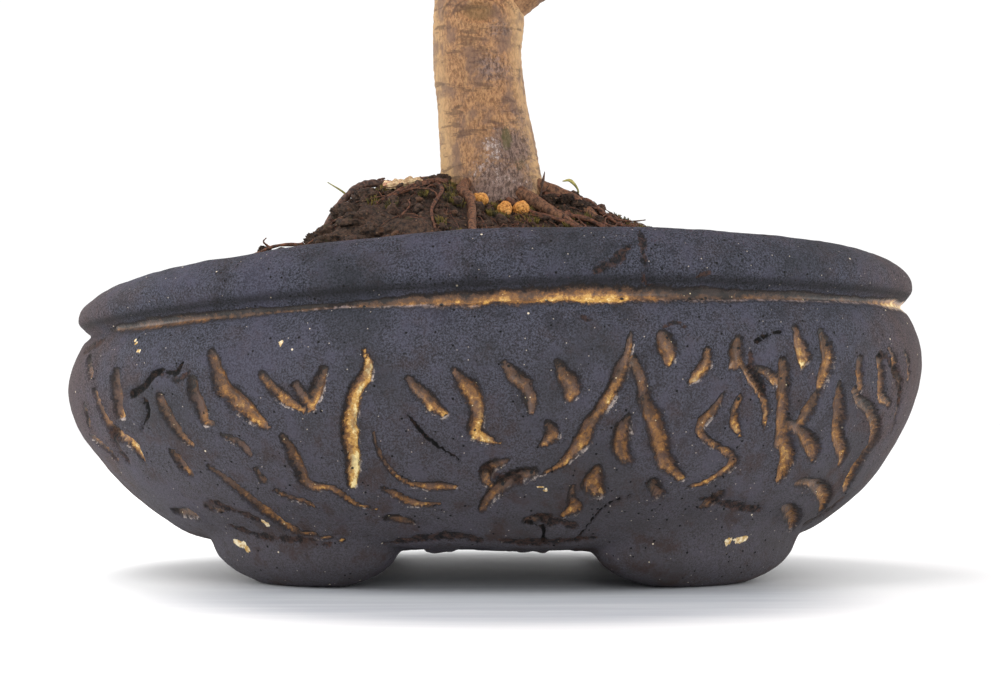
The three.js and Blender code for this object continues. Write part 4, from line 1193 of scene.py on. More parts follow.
# %% Bed and root ball
SOIL_LEVEL = 96
SOIL_WALL_GAP = 1.2
MOUTH = 0.85
SOIL_TOP_MARK = 1000
BALL_CENTRE = (-8, 4)
BALL_RISE = 20
BALL_REACH = {"left": 46, "right": 54, "deep": 46}
BALL_STEEPNESS = {"left": 6, "right": 2.6}
APRON_RISE = 12.5
APRON_REACH = {"left": 82, "right": 74, "deep": 68}
SOIL_WAVE = 0.9
DIP_DEPTH = 11
DIP_CENTRE = (18, -30)
DIP_REACH = (28, 22)
SOIL_COLUMNS = 360
SOIL_TOP_ROWS = 96
BED_WALL = [(0.001, FLOOR_TOP), (0.68, FLOOR_TOP), (0.86, 38), (0.9, 66), (0.853, 90)]
BED_LIFT = 0.6
TOP_REACH, TOP_HOLE = 0.985, 0.0005
SWELL_SIZE, LUMP_SIZE, CREASE_SIZE = 11, 5.5, 2.1
SWELL_RISE, LUMP_RISE, CREASE_DEPTH = 1.3, 2.6, 1.5


def soil_height(x, y):
    """Height of the soil's smooth top at a spot."""
    left = x < BALL_CENTRE[0]
    along, across = np.abs(x - BALL_CENTRE[0]), np.abs(y - BALL_CENTRE[1])
    ball_reach = np.where(left, BALL_REACH["left"], BALL_REACH["right"])
    steepness = np.where(left, BALL_STEEPNESS["left"], BALL_STEEPNESS["right"])
    ball = np.exp(-((along / ball_reach) ** steepness) - (across / BALL_REACH["deep"]) ** 4)
    apron_reach = np.where(left, APRON_REACH["left"], APRON_REACH["right"])
    apron = np.exp(-((along / apron_reach) ** 4) - (across / APRON_REACH["deep"]) ** 4)
    wave = np.sin(x * 0.21 + y * 0.13) * np.cos(y * 0.19 - x * 0.07)
    wide, deep = (x - DIP_CENTRE[0]) / DIP_REACH[0], (y - DIP_CENTRE[1]) / DIP_REACH[1]
    dip = np.exp(-(wide**4) - deep**4)
    mound = BALL_RISE * ball + APRON_RISE * apron - DIP_DEPTH * dip
    return SOIL_LEVEL + RIM_TILT * x + mound + SOIL_WAVE * wave


def on_soil(points):
    """Points given as x, y and height above the soil, as points in space."""
    points = np.asarray(points, float)
    return np.stack([points[:, 0], points[:, 1], soil_height(points[:, 0], points[:, 1]) + points[:, 2]], 1)


top_shares = MOUTH * TOP_REACH * (1 - np.arange(SOIL_TOP_ROWS + 1) / SOIL_TOP_ROWS) + TOP_HOLE
soil = spun("soil_mound", BED_WALL + [(share, SOIL_TOP_MARK) for share in top_shares], SOIL_COLUMNS)
lathe = raw_spots(soil)
spots = pulled_to_plan(lathe)
is_top = lathe[:, 2] > SOIL_TOP_MARK - 1
reach = np.hypot(spots[:, 0], spots[:, 1])
spots[:, :2] *= np.where(is_top | (reach < 5), 1, 1 - SOIL_WALL_GAP / np.maximum(reach, 5))[:, None]
flat_spots = spots * [1, 1, 0]
lumps = np.abs(wander(flat_spots, LUMP_SIZE, 22))
clods = SWELL_RISE * wander(flat_spots, SWELL_SIZE, 21) - LUMP_RISE * lumps + 0.3
clods -= CREASE_DEPTH * np.abs(wander(flat_spots, CREASE_SIZE, 23))
top_height = soil_height(spots[:, 0], spots[:, 1]) + clods
spots[:, 2] = np.where(is_top, top_height, spots[:, 2] + rim_warp(spots[:, 0], spots[:, 2]) + BED_LIFT)
set_spots(soil, spots)
pick(soil)
bpy.ops.object.mode_set(mode="EDIT")
bpy.ops.mesh.select_all(action="SELECT")
bpy.ops.mesh.remove_doubles(threshold=0.1 * MM)
bpy.ops.mesh.normals_make_consistent(inside=False)
bpy.ops.object.mode_set(mode="OBJECT")
print("open edges of the soil:", open_edges(soil))

# %% [markdown]
# ## Finish of the soil
#
# Damp soil is dark brown, with paler dry grains, rusty bits of bark and a greenish film. One noise over a
# brown would look like stone, so each of these is a layer with its own size. At the right the soil is drier.

# %% Finish of the soil
DRY_FROM, DRY_TO = 20 * MM, 70 * MM


def dry_at_right(earthy, grain):
    """How dry a grain looks, which grows towards the right end of the pot."""
    rightward = earthy.node("ShaderNodeSeparateXYZ", None, {0: earthy.place}, "X")
    return rightward.raised(DRY_FROM, DRY_TO) * grain.raised(0.35, 0.65) * 0.6


earth = Finish("crumbly_soil", Roughness=0.95)
crumb = earth.mottle(1.3, 4.0, 0.75)
damp = earth.mottle(13, 3.0, 0.55)
leaf_litter = earth.mottle(4.2, 3.0, 0.6)
brown = earth.layered(
    earth.blend(crumb.raised(0.32, 0.68), (14, 10, 9), (92, 70, 55)),
    (damp.raised(0.42, 0.66) * 0.55, (34, 26, 21)),
    (leaf_litter.raised(0.6, 0.7) * 0.5, (96, 64, 42)),
    (leaf_litter.raised(0.3, 0.4) * -0.45 + 0.45, (70, 66, 36)),
    (dry_at_right(earth, crumb), (142, 108, 82)),
    (earth.dots(1.7, 0.3, 0.35, 5.0) * 0.7, (122, 94, 70)),
)
crumbly_soil = earth.out(Base_Color=brown, Normal=earth.bump(crumb, 0.8))
finish(soil, "soil", crumbly_soil, "soil")

# %% [markdown]
# ## Crumbs, rootlets and moss
#
# The root ball's face is a tangle of loose crumbs, hair roots and small moss. A particle system could scatter
# them, but a rule with keys is easier to repeat. A crumb starts as a cube pushed out to a ball, and each copy
# is turned, stretched and sunk a little. The few big clods stand where the photograph shows them.

# %% Scatter crumbs
SMALL_CRUMBS = 1700
LARGE_CRUMBS = 420
CRUMB_KEYS = {"small": 3000, "large": 9000}
TRUNK_CLEARANCE = 19


def rounded_cube(cuts, roundness):
    """The points and faces of a cube of size 1 that is pushed out to a ball by a share."""
    bpy.ops.object.select_all(action="DESELECT")
    bpy.ops.mesh.primitive_cube_add(size=1, location=(0, 0, 0))
    bpy.ops.object.mode_set(mode="EDIT")
    bpy.ops.mesh.subdivide(number_cuts=cuts)
    bpy.ops.transform.tosphere(value=roundness)
    bpy.ops.object.mode_set(mode="OBJECT")
    return shape_of(bpy.context.object)


def round_grain(cuts):
    """The points and faces of a closed grain of radius 1."""
    points, faces = rounded_cube(cuts, 1)
    return unit_rows(points), faces


def any_turn(key):
    """A turn in space, drawn by a key, as a matrix."""
    axis = unit(np.array([draw(key, 1), draw(key, 2), draw(key, 3)]) - 0.5)
    return np.array([turned(row, axis, draw(key, 4) * 2 * math.pi) for row in np.eye(3)])


def bed_spot(key, wide, deep):
    """A spot on the bed, drawn by a key, in an oval round the trunk and outside of it."""
    for attempt in range(20):
        turn, out = draw(key, 11, attempt) * 2 * math.pi, math.sqrt(draw(key, 12, attempt))
        x, y = wide * out * math.cos(turn) - 4, deep * out * math.sin(turn)
        if math.hypot(x + 1, y - 4) > TRUNK_CLEARANCE:
            return x, y
    return wide * 0.8, 0.0


def add_grains(parts, tones, grain, count, first_key, oval, sizes):
    """Adds turned, dented and stretched copies of a grain, and a tone for each of their points."""
    points, faces = grain
    for number in range(count):
        key = first_key + number
        x, y = bed_spot(key, *oval)
        size = sizes[0] + (sizes[1] - sizes[0]) * draw(key, 13) ** 2
        stretch = 0.55 + 0.9 * np.array([draw(key, 14), draw(key, 15), draw(key, 16)])
        dents = 1 + 0.22 * np.sin(points @ (any_turn(key + 1) * 3.1).T).sum(1)
        lump = (points * stretch * dents[:, None]) @ any_turn(key) * size
        sunk = float(soil_height(x, y)) - 0.4 + size * (0.1 + 0.45 * draw(key, 17))
        parts.append((lump + [x, y, sunk], faces))
        tones += [draw(key, 18)] * len(points)


parts, tones = [], []
add_grains(parts, tones, round_grain(1), SMALL_CRUMBS, CRUMB_KEYS["small"], (92, 74), (0.35, 1.1))
add_grains(parts, tones, round_grain(2), LARGE_CRUMBS, CRUMB_KEYS["large"], (64, 54), (0.7, 1.6))
crumbs = new_piece("soil_crumbs", *gathered(parts))
note(crumbs, "tone", tones)
print("loose crumbs:", len(parts))

# %% Clods at the left end of the root ball
# Each clod: x, y, height above the soil, radius.
CLODS = [
    (-47, -30, -0.6, 4.6), (-53, -36, -0.4, 4.0), (-60, -41, -0.2, 3.4), (-57, -31, -0.8, 3.6),
    (-67, -45, 0.6, 2.4), (-72, -42, 1.6, 2.2), (-45, -38, -0.4, 4.2), (-52, -44, -0.4, 3.6),
    (-41, -24, 0.2, 3.6), (-36, -14, 0.4, 2.6), (-38, -44, -0.4, 4.0), (-63, -50, 0.0, 2.6),
    (36, -30, 0.0, 2.8), (43, -20, -0.2, 2.4), (29, -8, 0.2, 2.4), (31, -38, 0.0, 3.2),
    (-26, -12, 0.2, 2.4), (-20, -13, 0.6, 2.6), (-17, -10, 1.2, 2.2), (25, -2, 0.0, 2.6),
    (18, -9, 1.4, 2.8), (23, -8, 1.2, 2.6), (28, -8, 0.8, 2.4), (33, -12, 0.6, 2.2), (38, -16, 0.2, 2.0),
    (22, -12, 0.6, 2.2),
]
clod_points, clod_faces = round_grain(11)
parts = []
for number, (x, y, above, radius) in enumerate(CLODS):
    bumps = wander(clod_points * radius + number * 31.0, 3.2, 31, 3)
    creases = np.abs(wander(clod_points * radius - number * 17.0, 1.3, 32, 3))
    lump = clod_points * (radius * (1 + 0.4 * bumps) - 1.5 * creases)[:, None] * [1.15, 1.0, 0.75]
    parts.append((lump + on_soil([(x, y, above)])[0], clod_faces))
clods_piece = new_piece("soil_clods", *gathered(parts))
print("clods:", len(parts))

# %% Finish of the crumbs
loose = Finish("loose_crumbs", Roughness=0.92)
fine = loose.mottle(0.9, 3.0, 0.7)
tone = loose.kept("tone")
brown = loose.layered(
    loose.blend(fine.raised(0.3, 0.7), (16, 12, 10), (88, 66, 52)),
    (tone.raised(0.7, 0.98) * 0.4, (118, 82, 56)),
    ((1 - tone.raised(0.02, 0.08)) * 0.5, (96, 54, 38)),
    (dry_at_right(loose, fine), (142, 108, 82)),
    (loose.dots(1.5, 0.26, 0.35, 5.0) * 0.6, (122, 94, 70)),
)
finish(crumbs, "soil", loose.out(Base_Color=brown, Normal=loose.bump(fine, 0.6)))
finish(clods_piece, "soil", crumbly_soil)

# %% [markdown]
# ## Hair roots and fine roots
#
# Water has washed out a web of rootlets. A curve with a bevel could draw them, but a stalk of a few sides is
# lighter, and both its ends are closed. The fine roots at the front show best, so they are listed one by one.

# %% Hair roots
HAIR_ROOTS = 330
ROOT_KEY = 15000
ROOTLET_RUNS = 7


def hair_root(key):
    """A rootlet that creeps over the soil, and whose end stands a little out of it."""
    x, y = bed_spot(key, 62, 52)
    heading = draw(key, 21) * 2 * math.pi
    length = 6 + 13 * draw(key, 22)
    rise = 2.4 * draw(key, 23) ** 2
    points = []
    for step in range(ROOTLET_RUNS + 1):
        share = step / ROOTLET_RUNS
        points.append((x, y, 0.15 + rise * math.sin(share * math.pi * 0.9) - 1.4 * (step == 0)))
        heading += (draw(key, 24, step) - 0.5) * 1.1
        x, y = x + math.cos(heading) * length / ROOTLET_RUNS, y + math.sin(heading) * length / ROOTLET_RUNS
    radius = 0.13 + 0.28 * draw(key, 25) ** 2
    return stalk(on_soil(points), np.linspace(radius, radius * 0.4, ROOTLET_RUNS + 1))


rootlets = new_piece("hair_roots", *gathered([hair_root(ROOT_KEY + number) for number in range(HAIR_ROOTS)]))

# %% Fine roots that show at the front
# Each root: its points (x, y, height above the soil), and its radius at both ends.
FINE_ROOTS = [
    ([(4, -15, 1.6), (12, -19, 1.0), (20, -24, 1.4), (29, -27, 1.0), (36, -34, 0.2)], (0.9, 0.5)),
    ([(13, -12, 1.4), (21, -15, 1.2), (30, -14, 1.4), (38, -18, 1.4), (46, -22, 0.2)], (1.1, 0.6)),
    ([(16, -6, 0.6), (24, -7, 1.0), (30, -9, 2.2), (33, -9.5, 2.8)], (0.8, 0.3)),
    ([(27, -5, 0.2), (30, -6, 2.0), (34, -7, 1.6), (39, -10, 0.8), (43, -13, 0.2)], (0.8, 0.45)),
    ([(34, -8, 1.0), (40, -9, 1.4), (45, -10, 2.0), (49, -11, 3.4)], (0.45, 0.2)),
    ([(33, -13, 0.8), (41, -16, 1.0), (46, -20, 1.2), (51, -22, 2.0)], (0.5, 0.22)),
    ([(24, -12, 0.6), (22, -17, 1.2), (26, -22, 0.8), (33, -23, 0.4)], (0.7, 0.3)),
    ([(-16, -14, 1.0), (-21, -22, 0.8), (-30, -28, 0.6), (-39, -30, -0.6)], (0.9, 0.5)),
    ([(-20, -18, 0.8), (-17, -28, 0.8), (-20, -38, 0.6), (-18, -47, -0.6)], (0.7, 0.4)),
    ([(-60, -40, 2.0), (-68, -45, 2.8), (-76, -46, 1.8), (-86, -48, 1.0)], (0.6, 0.3)),
    ([(-70, -43, 2.2), (-72, -44, 4.6), (-71, -45, 5.8)], (0.45, 0.15)),
    ([(-37, -10, 0.4), (-39, -11, 2.2), (-38, -11.5, 3.0), (-36, -12, 3.2)], (0.7, 0.3)),
]
FINE_ROOT_RUNS = 14


def fine_root(points, radii):
    curve = smooth_curve(on_soil(points))
    knots = 1 + 0.18 * np.sin(np.arange(FINE_ROOT_RUNS + 1) * 2.1 + points[0][0])
    return stalk(curve.spaced(FINE_ROOT_RUNS), np.linspace(*radii, FINE_ROOT_RUNS + 1) * knots, 8)


fine_roots = new_piece("fine_roots", *gathered([fine_root(*root) for root in FINE_ROOTS]))
root_skin = grained("root_skin", 0.75, 1.1, (0.3, 0.72), (42, 26, 20), (126, 82, 58))
finish(rootlets, "root", root_skin)
finish(fine_roots, "root", root_skin)

# %% [markdown]
# ## Moss
#
# Small cushions of moss grow on the damp soil. A green patch in the soil's finish would stay flat, so each
# cushion has short blades of its own, which lean outwards round its middle.

# %% Moss
MOSS_KEY = 21000
MOSS_BLADES = 26
# Each tuft: x, y and its reach. More tufts follow by a rule.
MOSS_TUFTS = [
    (-17, -13, 3.0), (-14, -15.5, 2.4), (-20, -14, 2.4), (9, -25, 2.6), (14, -31, 3.0), (-12, -30, 2.0),
]
MORE_TUFTS = 110


def moss_tuft(key, x, y, reach):
    """Short pointed blades that lean out from the middle of a tuft."""
    blades = []
    for blade in range(MOSS_BLADES):
        turn, out = draw(key, 31, blade) * 2 * math.pi, math.sqrt(draw(key, 32, blade)) * reach
        foot_x, foot_y = x + out * math.cos(turn), y + out * math.sin(turn)
        lean = 0.9 * out / reach
        tall = 0.7 + 1.1 * draw(key, 33, blade)
        aside_x, aside_y = lean * math.cos(turn), lean * math.sin(turn)
        points = [(foot_x, foot_y, -0.6)]
        points.append((foot_x + aside_x / 2, foot_y + aside_y / 2, tall * 0.55))
        points.append((foot_x + aside_x, foot_y + aside_y, tall))
        blades.append(stalk(on_soil(points), (0.26, 0.22, 0.05), 3))
    return blades


parts = []
for number, tuft in enumerate(MOSS_TUFTS):
    parts += moss_tuft(MOSS_KEY + number, *tuft)
for number in range(MORE_TUFTS):
    key = MOSS_KEY + 100 + number
    parts += moss_tuft(key, *bed_spot(key, 60, 50), 0.9 + 1.3 * draw(key, 34))
moss = new_piece("moss_tufts", *gathered(parts))
finish(moss, "soil", clouded("moss_green", 0.85, (44, 40, 16), (112, 98, 38)))

# %% [markdown]
# ## Trunk, boughs and twigs
#
# The wood is one grown piece: trunk, roots, boughs and the twigs that carry the sprays. A skin modifier could
# grow it over a few edges, but its thickness is hard to steer. So each limb is a tube along a smooth curve,
# with its own rule for its radius, and it starts inside the limb that carries it.

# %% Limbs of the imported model
# Each station of the trunk: x, y, z and radius. Each bough: the height where it leaves the trunk, its compass
# direction, its length, and its rise in degrees. Each root: its points over the soil, and its two radii.
TRUNK = [
    (-1, 4, 98, 17.5), (-1.2, 4, 128, 16.2), (-4.5, 4, 155, 14.7), (-6.4, 3, 178, 14.4), (-4.4, 1, 202, 13.4),
    (4, 0, 230, 11), (9, 3, 258, 9.4), (7, 8, 286, 8), (1, 10, 314, 6.6), (-4, 7, 342, 5.2),
    (-2, 4, 370, 3.8), (1, 4, 394, 2.6),
]
BOUGHS = [
    (186, -8, 98, 34), (214, 173, 96, 26), (234, 95, 78, 30), (250, -42, 82, 30), (266, 217, 82, 32),
    (284, 42, 80, 34), (300, 140, 76, 36), (314, 274, 66, 34), (332, 3, 60, 44), (346, 186, 58, 46),
    (360, 82, 46, 54), (372, 300, 42, 56),
]
ROOTS = [
    ([(8, -8, 1), (22, -16, 0), (34, -22, -0.8), (46, -23, -1.8)], (2.3, 0.9)),
    ([(10, -2, 1.6), (26, -6, 0), (38, -14, -0.6), (50, -12, -1.6)], (2.5, 0.8)),
    ([(-9, -8, 2), (-11, -18, 1), (-8, -25, 1.1), (-6.8, -48, -1.2)], (1.9, 1.1)),
    ([(-10, 0, 1.6), (-26, -4, 0), (-38, 0, -0.6), (-47, 4, -1.8)], (2.7, 0.9)),
    ([(-4, 14, 2.4), (-14, 30, 0.6), (-26, 40, 0), (-34, 52, -1.8)], (2.8, 1)),
    ([(8, 14, 2.4), (20, 28, 0.8), (26, 42, 0), (36, 50, -1.8)], (2.8, 1)),
]
BOUGH_SAG = 5
BOUGH_SWAY = 16
BOUGH_TIP_RADIUS = 1.9
TWIG_RADIUS = 1.25
TWIG_PLACES = (0.4, 0.55, 0.7, 0.85, 1)
DRAWS = {"size": 11, "roll": 23, "spread": 31, "length": 37, "droop": 41, "tilt": 43, "blade": 47, "sway": 71}

trunk_curve = smooth_curve([station[:3] for station in TRUNK])
leader = smooth_curve([station[:3] for station in TRUNK[-4:]])


def trunk_radius(height):
    return float(np.interp(height, [station[2] for station in TRUNK], [station[3] for station in TRUNK]))


def trunk_at(height):
    low, high = 0.0, 1.0
    for _ in range(24):
        middle = (low + high) / 2
        if trunk_curve.rule(middle)[2] < height:
            low = middle
        else:
            high = middle
    return trunk_curve.rule(low)


def bough_curve(bough, index):
    """A bough leaves the trunk, sags a little and lifts towards its end."""
    height, compass, length, rise = bough
    start = trunk_at(height)
    turn, lift = math.radians(compass), math.radians(rise)
    out = np.array([math.cos(turn), math.sin(turn), 0])
    side = np.array([-out[1], out[0], 0])
    sway = (draw(index, DRAWS["sway"]) - 0.5) * BOUGH_SWAY

    def spot(share, sag, swing):
        level = start + out * length * share * math.cos(lift) + side * sway * swing
        return np.array([level[0], level[1], start[2] + length * share * math.sin(lift) - sag])

    bends = [spot(0, 0, 0), spot(0.33, BOUGH_SAG * 0.6, 0.7), spot(0.68, BOUGH_SAG, -0.4), spot(1, 0, 0.3)]
    return smooth_curve(bends)


bough_curves = [bough_curve(bough, index) for index, bough in enumerate(BOUGHS)]
carriers = [*bough_curves, leader]
print("boughs, mm long:", [round(curve.length) for curve in bough_curves])

# %% [markdown]
# ## Where each spray stands
#
# The crown is a rounded dome. Sprays that are set on it by the golden angle leave neither rows nor gaps. A
# twig runs to each from the bough where it needs the least bend and length.

# %% Where each spray of leaves stands
CROWN_CENTRE = np.array([0, 4, 316.0])
CROWN_REACH = np.array([168, 138, 152.0])
LOWEST_LIFT = -0.36
GOLDEN_ANGLE = math.radians(137.508)
SPRAYS = 28
SPRAY_DEPTH = 0.72
STEM_LENGTH = 7


def spray_place(index):
    """Where a spray stands on the crown's dome, which way it faces, and its two sideways directions."""
    lift = 1 - ((index + 0.5) / SPRAYS) * (1 - LOWEST_LIFT)
    turn = index * GOLDEN_ANGLE + 0.6
    ring = math.sqrt(1 - lift * lift)
    direction = np.array([ring * math.cos(turn), ring * math.sin(turn), lift])
    size = SPRAY_DEPTH * (0.95 + 0.1 * draw(index, DRAWS["size"]))
    hub = direction * CROWN_REACH * size + CROWN_CENTRE
    outward = unit(unit(direction / CROWN_REACH) + [0, 0, 0.18])
    aside = np.array([-math.sin(turn), math.cos(turn), 0])
    rise = unit(np.cross(outward, aside))
    return {"hub": hub, "outward": outward, "aside": aside, "rise": rise, "lift": lift}


def twig_start(foot):
    """The place on the boughs from which a twig reaches the spray with the least bend and length."""
    best = None
    for carrier in carriers:
        for share in TWIG_PLACES:
            spot, heading = carrier.at(share), carrier.heading(share)
            away = foot - spot
            gap = np.linalg.norm(away)
            cost = gap * (1.7 - 0.7 * (heading @ away) / gap)
            if best is None or cost < best[0]:
                best = (cost, spot, heading)
    return best[1:]


def twig_curve(place):
    foot = place["hub"] - place["outward"] * STEM_LENGTH
    spot, heading = twig_start(foot)
    gap = np.linalg.norm(foot - spot)
    leaving, arriving = spot + heading * gap * 0.3, foot - place["outward"] * gap * 0.35

    def rule(t):
        u = 1 - t
        return u**3 * spot + 3 * u * u * t * leaving + 3 * u * t * t * arriving + t**3 * foot

    return Curve(rule)


places = [spray_place(index) for index in range(SPRAYS)]
twigs = [twig_curve(place) for place in places]
print("twigs from", round(min(t.length for t in twigs)), "to", round(max(t.length for t in twigs)), "mm long")

# %% [markdown]
# ## The trunk's form
#
# The trunk shows ribs that run down into the roots, fine level wrinkles, and the scar of an old branch like a
# closed eye under its brows. They could be sculpted by hand, but sums of waves and noise on each ring of the
# tube are easy to change.

# %% The trunk's form
SCAR_CENTRE = (-5.5, 183)
SCAR_HALF_SIZE = (6.0, 3.4)
SCAR_DEPTH = 1.0
FLARE_TOP = 150
RIB_COUNT = 5
RIB_RISE = 0.75
WRINKLE_RISE, WRINKLE_PACE = 0.28, 2.3
LID_RING, BROW_RING, BROW_PITCH = 1.15, 1.9, 0.85
COLLAR_RISE = 0.5
COLLAR_REACH = 0.12
SHOULDER_HEIGHT, SHOULDER_REACH, SHOULDER_RISE = 185, 10, 2.2


def field(points, size, key, stretch=(1, 1, 1)):
    """Smooth noise at each point, with swells of a size in mm that may be stretched along an axis."""
    away = np.array([key * 3.1, key * 1.7, key * 5.3])
    return np.array([noise.noise(Vector(spot)) for spot in points * stretch / size + away])


def scar_ring(points):
    """Distance from the scar's middle in scar sizes, how far above it, and 1 on the trunk's front."""
    across = (points[:, 0] - SCAR_CENTRE[0]) / SCAR_HALF_SIZE[0]
    above = (points[:, 2] - SCAR_CENTRE[1]) / SCAR_HALF_SIZE[1]
    return np.hypot(across, above), above, smoothstep(0, -8, points[:, 1])


def trunk_form(points, around, share):
    """What ribs, flares, wrinkles and the scar add to the trunk's radius, in millimetres."""
    height = float(points[:, 2].mean())
    size = trunk_radius(height) / 16
    low = smoothstep(FLARE_TOP, 104, height)
    compass = np.arctan2(around[:, 1], around[:, 0])
    ribs = np.cos(compass * RIB_COUNT + 0.9 + height * 0.012) + 0.6 * np.cos(compass * 3 - 0.7)
    form = RIB_RISE * ribs * (0.25 + low) + 0.8 * low
    form += 1.0 * field(points, 13, 51, (1, 1, 0.35)) + 0.35 * field(points, 4, 52, (1, 1, 0.3))
    wrinkle = np.sin(points[:, 2] * WRINKLE_PACE + 2.4 * field(points, 9, 53)) * field(points, 17, 54)
    form += WRINKLE_RISE * wrinkle + 0.2 * field(points, 1.7, 55)
    shoulder = math.exp(-(((height - SHOULDER_HEIGHT) / SHOULDER_REACH) ** 2))
    form += SHOULDER_RISE * shoulder * np.maximum(0, around[:, 0]) ** 2
    ring, above, front = scar_ring(points)
    eye = -SCAR_DEPTH * np.exp(-((ring / 0.8) ** 4)) + 0.9 * np.exp(-((ring / 0.42) ** 2))
    lid = 0.75 * np.exp(-(((ring - LID_RING) / 0.3) ** 2))
    waves = np.cos((ring - LID_RING) * 2 * math.pi / BROW_PITCH)
    brows = 0.35 * waves * np.exp(-((ring - BROW_RING) ** 2) / 0.9) * (above > -0.3)
    return form * size + (eye + lid + brows) * front


def trunk_rule(share):
    return trunk_radius(trunk_curve.at(share)[2])


def bough_rule(bough):
    height, _, length, _ = bough
    thick = min(trunk_radius(height) * 0.6, 0.6 + length * 0.08)

    def radius_at(share):
        plain = BOUGH_TIP_RADIUS + (thick - BOUGH_TIP_RADIUS) * (1 - share) ** 0.8
        return plain * (1 + COLLAR_RISE * math.exp(-share / COLLAR_REACH))

    return radius_at


def bough_form(points, around, share):
    ringed = 0.12 * np.sin(share * 210) * (share > 0.15)
    return ringed + 0.35 * field(points, 5, 56) * (1.3 - share) + 0.12 * field(points, 1.6, 57)


def root_form(points, around, share):
    return 0.5 * field(points, 4, 58) * (1.2 - share) + 0.08 * field(points, 3, 59)


# %% Grow the wood
TRUNK_SIDES, TRUNK_STEPS = 144, 420
YOUNG_FROM, YOUNG_TO = 230, 390
HALF_TRUNK = 15
limbs = [(tube(trunk_curve, trunk_rule, TRUNK_SIDES, TRUNK_STEPS, trunk_form), 0.0)]
limbs += [(tube(c, bough_rule(b), 24, 90, bough_form), 0.45) for b, c in zip(BOUGHS, bough_curves)]
limbs += [(tube(c, tapered(BOUGH_TIP_RADIUS, TWIG_RADIUS), 10, 26), 1.0) for c in twigs]
limbs += [(tube(smooth_curve(on_soil(p)), tapered(*radii), 18, 50, root_form), 2.0) for p, radii in ROOTS]
wood = new_piece("grown_wood", *gathered([limb for limb, _ in limbs]))
spots = spots_of(wood)
ring, above, front = scar_ring(spots)
youth = np.concatenate([np.full(len(limb[0]), value) for limb, value in limbs])
rootness = smoothstep(1.5, 2.0, youth)
youth = np.where(rootness > 0, 0, np.maximum(youth, smoothstep(YOUNG_FROM, YOUNG_TO, spots[:, 2]) * 0.8))
# Each patch: the x and z of its middle on the trunk's front, its half size, and how strong it is.
LICHEN_PATCHES = [
    (-1, 138, 5, 7, 1.0), (-5, 131, 5, 5, 0.8), (3, 128, 10, 7, 0.7), (-8, 124, 7, 5, 0.6),
    (10, 133, 5, 9, 0.4),
]
GREY_PATCHES = [
    (2, 127, 13, 10, 0.9), (-1, 165, 9, 7, 0.6), (9, 150, 6, 8, 0.5), (1, 178, 7, 5, 0.5),
    (6, 139, 9, 9, 0.8),
]
MOSS_PATCHES = [
    (3.6, 142, 2.2, 4.5, 1.0), (8, 134, 3.5, 5, 0.55), (-14, 121, 5, 4, 0.8), (-5, 120, 8, 3, 0.5),
]


def patches(places_on_bark):
    worth = np.zeros(len(spots))
    for x, z, wide, tall, strength in places_on_bark:
        near = np.exp(-(((spots[:, 0] - x) / wide) ** 2) - ((spots[:, 2] - z) / tall) ** 2)
        worth = np.maximum(worth, near * strength * smoothstep(4, -6, spots[:, 1]))
    return worth


for title, patch_rows in (("lichen", LICHEN_PATCHES), ("grey", GREY_PATCHES), ("moss", MOSS_PATCHES)):
    note(wood, title, patches(patch_rows))
note(wood, "youth", youth)
note(wood, "rootness", rootness)
note(wood, "scar", np.exp(-(ring**2)) * front)
# Painted shade: dark arcs round the old scar, for the shade in its wrinkles.
brow_shade = np.maximum(0, np.cos((ring - 0.75) * 2 * math.pi / 0.62)) ** 2 * np.exp(-(((ring - 1.5) / 1.1) ** 2))
note(wood, "brow_shade", brow_shade * (0.25 + 0.75 * smoothstep(-0.6, 0.4, above)) * front)
# Painted highlight: how far each trunk point lies left or right of the trunk's middle, as the front sees it.
trunk_spots = spots[: (TRUNK_STEPS + 1) * TRUNK_SIDES]
ring_heights = np.clip(trunk_spots[::TRUNK_SIDES, 2], TRUNK[0][2], TRUNK[-1][2])
ring_middles = [trunk_at(height)[0] for height in ring_heights]
edge = np.zeros(len(spots))
edge[: len(trunk_spots)] = np.abs(trunk_spots[:, 0] - np.repeat(ring_middles, TRUNK_SIDES)) / HALF_TRUNK
note(wood, "edge", np.clip(edge, 0, 1.2))
print("open edges of the wood:", open_edges(wood))

# %% [markdown]
# ## Bark
#
# Maple bark is tan, with dark level marks, grey blotches, pale lichen and a green film near the soil. A
# picture of bark would have to be wrapped round every limb, so each of these is a layer of noise over the
# tan. Where a layer has a place of its own, the wood keeps a number for it, and flecks fray its edge. The
# trunk's left and right sides, as the front sees them, are painted paler as a painted highlight, and dark
# arcs round the old scar are painted shade for its wrinkles.

# %% Bark
bark = Finish("maple_bark", Roughness=0.75)
fine_grain = bark.mottle(0.8, 4.0, 0.72, (1, 1, 0.5))
streaks = bark.mottle(3.4, 4.0, 0.6, (1, 1, 0.4))
level_marks = bark.mottle(3.0, 4.0, 0.62, (0.3, 0.3, 1.3))
blotches = bark.mottle(8, 4.0, 0.62)
flecks = bark.mottle(1.3, 4.0, 0.8)
mid_grain = fine_grain.raised(0.4, 0.6)
young = bark.blend(streaks.raised(0.4, 0.6), (84, 58, 46), (128, 94, 70))


def flecked(name, fraying, start, end):
    """A number kept on the wood, with an edge that flecks have frayed."""
    return (bark.kept(name) + (flecks - 0.5) * fraying).raised(start, end)


